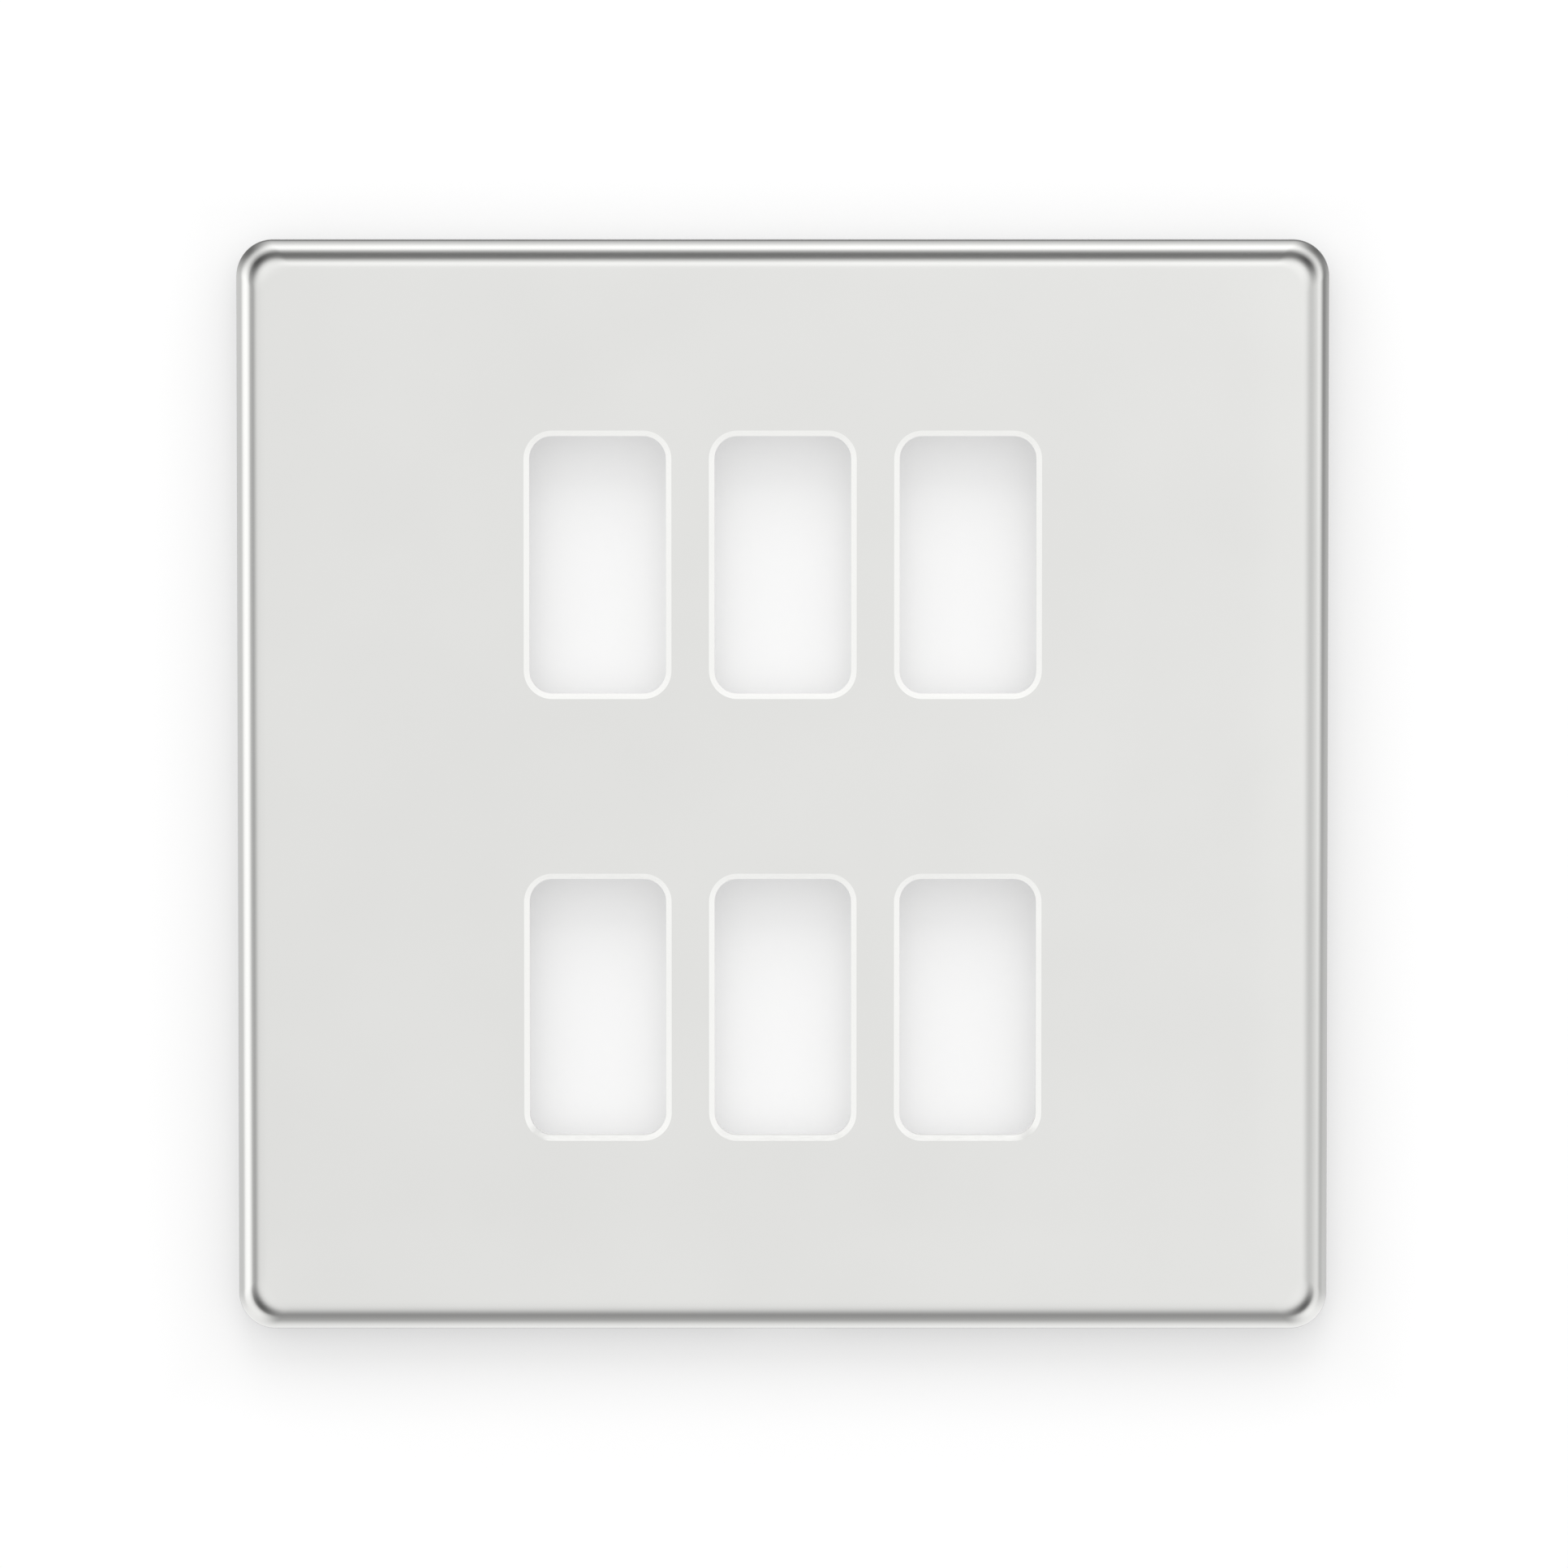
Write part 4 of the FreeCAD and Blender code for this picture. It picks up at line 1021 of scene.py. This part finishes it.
    def band(self, tree, value, stops):
        """Brightness along one direction: each stop is a position and a level."""
        colours = [(position, grey(level / PANEL_LEVEL)) for position, level in stops]
        return colours_between(tree, value, colours)

    def blended(self, tree, across, upward, height, value, rows):
        """Mixes the levels of the four sides and of the corners by where a place lies off the plate."""
        square_x = calculate(tree, "MULTIPLY", across, across)
        square_z = calculate(tree, "MULTIPLY", upward, upward)
        whole = calculate(tree, "ADD", calculate(tree, "ADD", square_x, square_z), TINY)
        steep = calculate(tree, "DIVIDE", square_z, whole)
        bands = {side: self.band(tree, value, stops) for side, stops in rows.items()}
        high = calculate(tree, "GREATER_THAN", upward, 0.0)
        tall = self.choose(tree, high, bands["below"], bands["above"])
        corner = self.choose(tree, high, bands["lower_corners"], bands["upper_corners"])
        rightward = self.choose(tree, height, bands["right_bottom"], bands["right_top"])
        wide = self.choose(tree, calculate(tree, "GREATER_THAN", across, 0.0), bands["left"], rightward)
        level = calculate(tree, "SUBTRACT", 1.0, steep)
        # Straight off a corner both shares are a half, and four times their product is one.
        slanted = calculate(tree, "MULTIPLY", calculate(tree, "MULTIPLY", steep, level), 4.0)
        return self.choose(tree, slanted, self.choose(tree, steep, wide, tall), corner)

    def beyond(self, tree, place, edge):
        """How far a place lies outside an edge of the plate, with its sign."""
        outside = calculate(tree, "SUBTRACT", calculate(tree, "ABSOLUTE", place), edge)
        reach = calculate(tree, "MAXIMUM", outside, 0.0)
        return calculate(tree, "MULTIPLY", reach, calculate(tree, "SIGN", place))

    def after_matt(self, tree, rays):
        """One for a ray that comes from a matt surface, and nought for one that has met none."""
        return calculate(tree, "GREATER_THAN", rays["Diffuse Depth"], 0.5)

    def card_glow(self, name, sizes, inset, measure, rows):
        """A glow that changes around the plate and is dim where matt surfaces see it mirrored."""
        finish, tree = self.bare_finish(name)
        x, y, z = self.axes(tree, "Object")
        across = self.beyond(tree, x, sizes.width / 2 - inset)
        upward = self.beyond(tree, z, sizes.height / 2 - inset)
        height = spread(tree, z, start=-sizes.height / 2, end=sizes.height / 2)
        value = measure(tree, across, y, upward)
        glow = tree.nodes.new("ShaderNodeEmission")
        tree.links.new(self.blended(tree, across, upward, height, value, rows), glow.inputs["Color"])
        drift = calculate(tree, "ADD", calculate(tree, "MULTIPLY", x, GAIN_RIGHT), 1.0)
        drift = calculate(tree, "ADD", calculate(tree, "MULTIPLY", z, GAIN_UP), drift)
        rays = tree.nodes.new("ShaderNodeLightPath").outputs
        lost = calculate(tree, "MULTIPLY", self.after_matt(tree, rays), MATT_LOSS)
        kept = calculate(tree, "SUBTRACT", 1.0, lost)
        strength = calculate(tree, "MULTIPLY", calculate(tree, "MULTIPLY", drift, kept), PANEL_LEVEL)
        tree.links.new(strength, glow.inputs["Strength"])
        tree.links.new(glow.outputs["Emission"], tree.nodes["Material Output"].inputs["Surface"])
        return finish

    def front_card(self, sizes):
        """A white card in front of the plate that greys toward its border."""

        def angle_off(tree, across, y, upward):
            joined = tree.nodes.new("ShaderNodeCombineXYZ")
            tree.links.new(across, joined.inputs["X"])
            tree.links.new(upward, joined.inputs["Z"])
            reach = tree.nodes.new("ShaderNodeVectorMath")
            reach.operation = "LENGTH"
            tree.links.new(joined.outputs["Vector"], reach.inputs[0])
            run = calculate(tree, "DIVIDE", reach.outputs["Value"], CARD_AWAY)
            return calculate(tree, "DIVIDE", calculate(tree, "ARCTANGENT", run), math.pi)

        rows = {side: self.half_turns(row) for side, row in CARD_LEVELS.items()}
        finish = self.card_glow("front_card", sizes, 0.0, angle_off, rows)
        border = CARD_AWAY * math.tan(math.radians(CARD_ANGLE))
        outline = rounded_outline(sizes.width, sizes.height, border, border, CARD_STEPS)
        mesh = bmesh.new()
        mesh.faces.new(add_loop(mesh, outline, CARD_AWAY))
        self.sheet("front_card", finish, mesh, OFF_CARDS)

    def band_depth(self, sizes, degrees):
        """Where on the band the rolled edge mirrors a given angle, out from the wall."""
        lean = math.radians(degrees - SIGHT_LEAN) / 2
        start = sizes.depth - sizes.roll * (1 - math.cos(lean))
        gap = BAND_AWAY + sizes.roll * (1 - math.sin(lean))
        return start + gap / math.tan(math.radians(degrees))

    def edge_band(self, sizes):
        """A narrow band that stands around the plate's rolled edge."""
        front, rear = (self.band_depth(sizes, degrees) for degrees in (CARD_ANGLE, BAND_LAST))

        def along(tree, across, y, upward):
            return spread(tree, y, start=-front, end=-rear)

        def way_back(degrees):
            return (front - self.band_depth(sizes, degrees)) / (front - rear)

        rows = {
            side: [(way_back(degrees), level) for degrees, level in row]
            for side, row in BAND_LEVELS.items()
        }
        finish = self.card_glow("edge_band", sizes, sizes.corner, along, rows)
        corner = sizes.corner + BAND_AWAY
        outline = rounded_outline(sizes.width, sizes.height, BAND_AWAY, corner, CARD_STEPS)
        mesh = bmesh.new()
        join_loops(mesh, [add_loop(mesh, outline, front), add_loop(mesh, outline, rear)])
        self.sheet("edge_band", finish, mesh, OFF_CARDS)

    def tent(self, tree):
        """Soft light on everything matt, brighter from above than from below."""
        z = self.axes(tree, "Generated")[2]
        height = spread(tree, z, start=-1.0, end=1.0)
        return colours_between(tree, height, ((0.0, grey(TENT_BELOW)), (1.0, grey(1.0))))

    def studio(self, tree):
        """What polished metal sees past the cards: bright panels all round and a dim room behind."""
        _, y, z = self.axes(tree, "Generated")
        toward = calculate(tree, "MULTIPLY", y, -1.0)
        angle = calculate(tree, "DIVIDE", calculate(tree, "ARCCOSINE", toward), math.pi)
        low, high = (self.band(tree, angle, self.half_turns(row)) for row in (PANELS_LOW, PANELS_HIGH))
        height = spread(tree, z, start=-1.0, end=1.0)
        return self.choose(tree, height, low, high)

    def light(self, look):
        """A tent for matt surfaces, a studio for mirrored rays, white for the camera, and one lamp."""
        world = bpy.data.worlds.new("studio")
        bpy.context.scene.world = world
        world.use_nodes = True
        tree = world.node_tree
        soft = tree.nodes["Background"]
        soft.inputs["Strength"].default_value = TENT_LEVEL
        tree.links.new(self.tent(tree), soft.inputs["Color"])
        bright, white, dim = (tree.nodes.new("ShaderNodeBackground") for _ in range(3))
        bright.inputs["Strength"].default_value = PANEL_LEVEL
        tree.links.new(self.studio(tree), bright.inputs["Color"])
        white.inputs["Color"].default_value = (*grey(1.0), 1.0)
        dim.inputs["Color"].default_value = (*grey(DIM_LEVEL), 1.0)
        rays = tree.nodes.new("ShaderNodeLightPath").outputs
        mirrored = rays["Is Glossy Ray"]
        seen = calculate(tree, "MAXIMUM", rays["Is Camera Ray"], rays["Is Transmission Ray"])
        dulled = calculate(tree, "MULTIPLY", mirrored, self.after_matt(tree, rays))
        room = self.mixed(tree, mirrored, soft.outputs["Background"], bright.outputs["Background"])
        room = self.mixed(tree, seen, room, white.outputs["Background"])
        room = self.mixed(tree, dulled, room, dim.outputs["Background"])
        tree.links.new(room, tree.nodes["World Output"].inputs["Surface"])
        self.lamp("upper_lamp", Vector(LAMP_WAY) * LAMP_DISTANCE, LAMP_SIZE, look.lamp_power)

    def lamp(self, name, place, size, power):
        """A square soft lamp aimed at the plate and hidden from reflections."""
        data = bpy.data.lights.new(name, "AREA")
        data.size = size
        data.energy = power
        made = bpy.data.objects.new(name, data)
        made.location = place
        made.rotation_euler = (-place).to_track_quat("-Z", "Y").to_euler()
        made.visible_glossy = False
        made.visible_camera = False
        bpy.context.scene.collection.objects.link(made)

    def camera(self, look, sizes):
        """The camera almost straight in front, a touch above the middle."""
        data = bpy.data.cameras.new("camera")
        data.sensor_width = SENSOR_WIDTH
        data.lens = data.sensor_width * look.distance / look.view_height
        made = bpy.data.objects.new("camera", data)
        pixel = look.view_height / PHOTO_PIXELS
        target = Vector((PIXELS_RIGHT * pixel, -sizes.depth, PIXELS_UP * pixel))
        away = Vector((0.0, -math.cos(look.elevation), math.sin(look.elevation)))
        made.location = target + away * look.distance
        made.rotation_euler = (-away).to_track_quat("-Z", "Y").to_euler()
        bpy.context.scene.collection.objects.link(made)
        bpy.context.scene.camera = made

    def execute(self, context):
        settings = context.scene.grid_plate
        self.backdrop(settings.stage, settings.plate)
        self.front_card(settings.plate)
        self.edge_band(settings.plate)
        self.light(settings.stage)
        self.camera(settings.stage, settings.plate)
        context.scene.view_settings.view_transform = "Standard"
        return {"FINISHED"}


PIECES = (
    GRIDPLATE_OT_front_plate,
    GRIDPLATE_OT_carrier,
    GRIDPLATE_OT_grid_frames,
    GRIDPLATE_OT_box_screws,
    GRIDPLATE_OT_earth_terminals,
    GRIDPLATE_OT_clips,
    GRIDPLATE_OT_stage,
)


class GRIDPLATE_PT_panel(bpy.types.Panel):
    """Lists the steps that dress the plate"""

    bl_idname = "GRIDPLATE_PT_panel"
    bl_label = "Grid switch plate"
    bl_space_type = "VIEW_3D"
    bl_region_type = "UI"
    bl_category = "Grid Plate"

    def draw(self, context):
        for step in PIECES:
            self.layout.operator(step.bl_idname)


CLASSES = (
    PlateSizes,
    FastenerSizes,
    FinishColours,
    StageLook,
    GridPlateSettings,
    *PIECES,
    GRIDPLATE_PT_panel,
)


def register():
    for item in CLASSES:
        bpy.utils.register_class(item)
    bpy.types.Scene.grid_plate = PointerProperty(
        name="Grid plate",
        description="Settings of the grid switch plate",
        type=GridPlateSettings,
    )


def unregister():
    del bpy.types.Scene.grid_plate
    for item in reversed(CLASSES):
        bpy.utils.unregister_class(item)


def main():
    register()
    bpy.ops.grid_plate.front_plate()
    bpy.ops.grid_plate.carrier()
    bpy.ops.grid_plate.grid_frames()
    bpy.ops.grid_plate.box_screws()
    bpy.ops.grid_plate.earth_terminals()
    bpy.ops.grid_plate.clips()
    bpy.ops.grid_plate.stage()


if __name__ == "__main__":
    main()
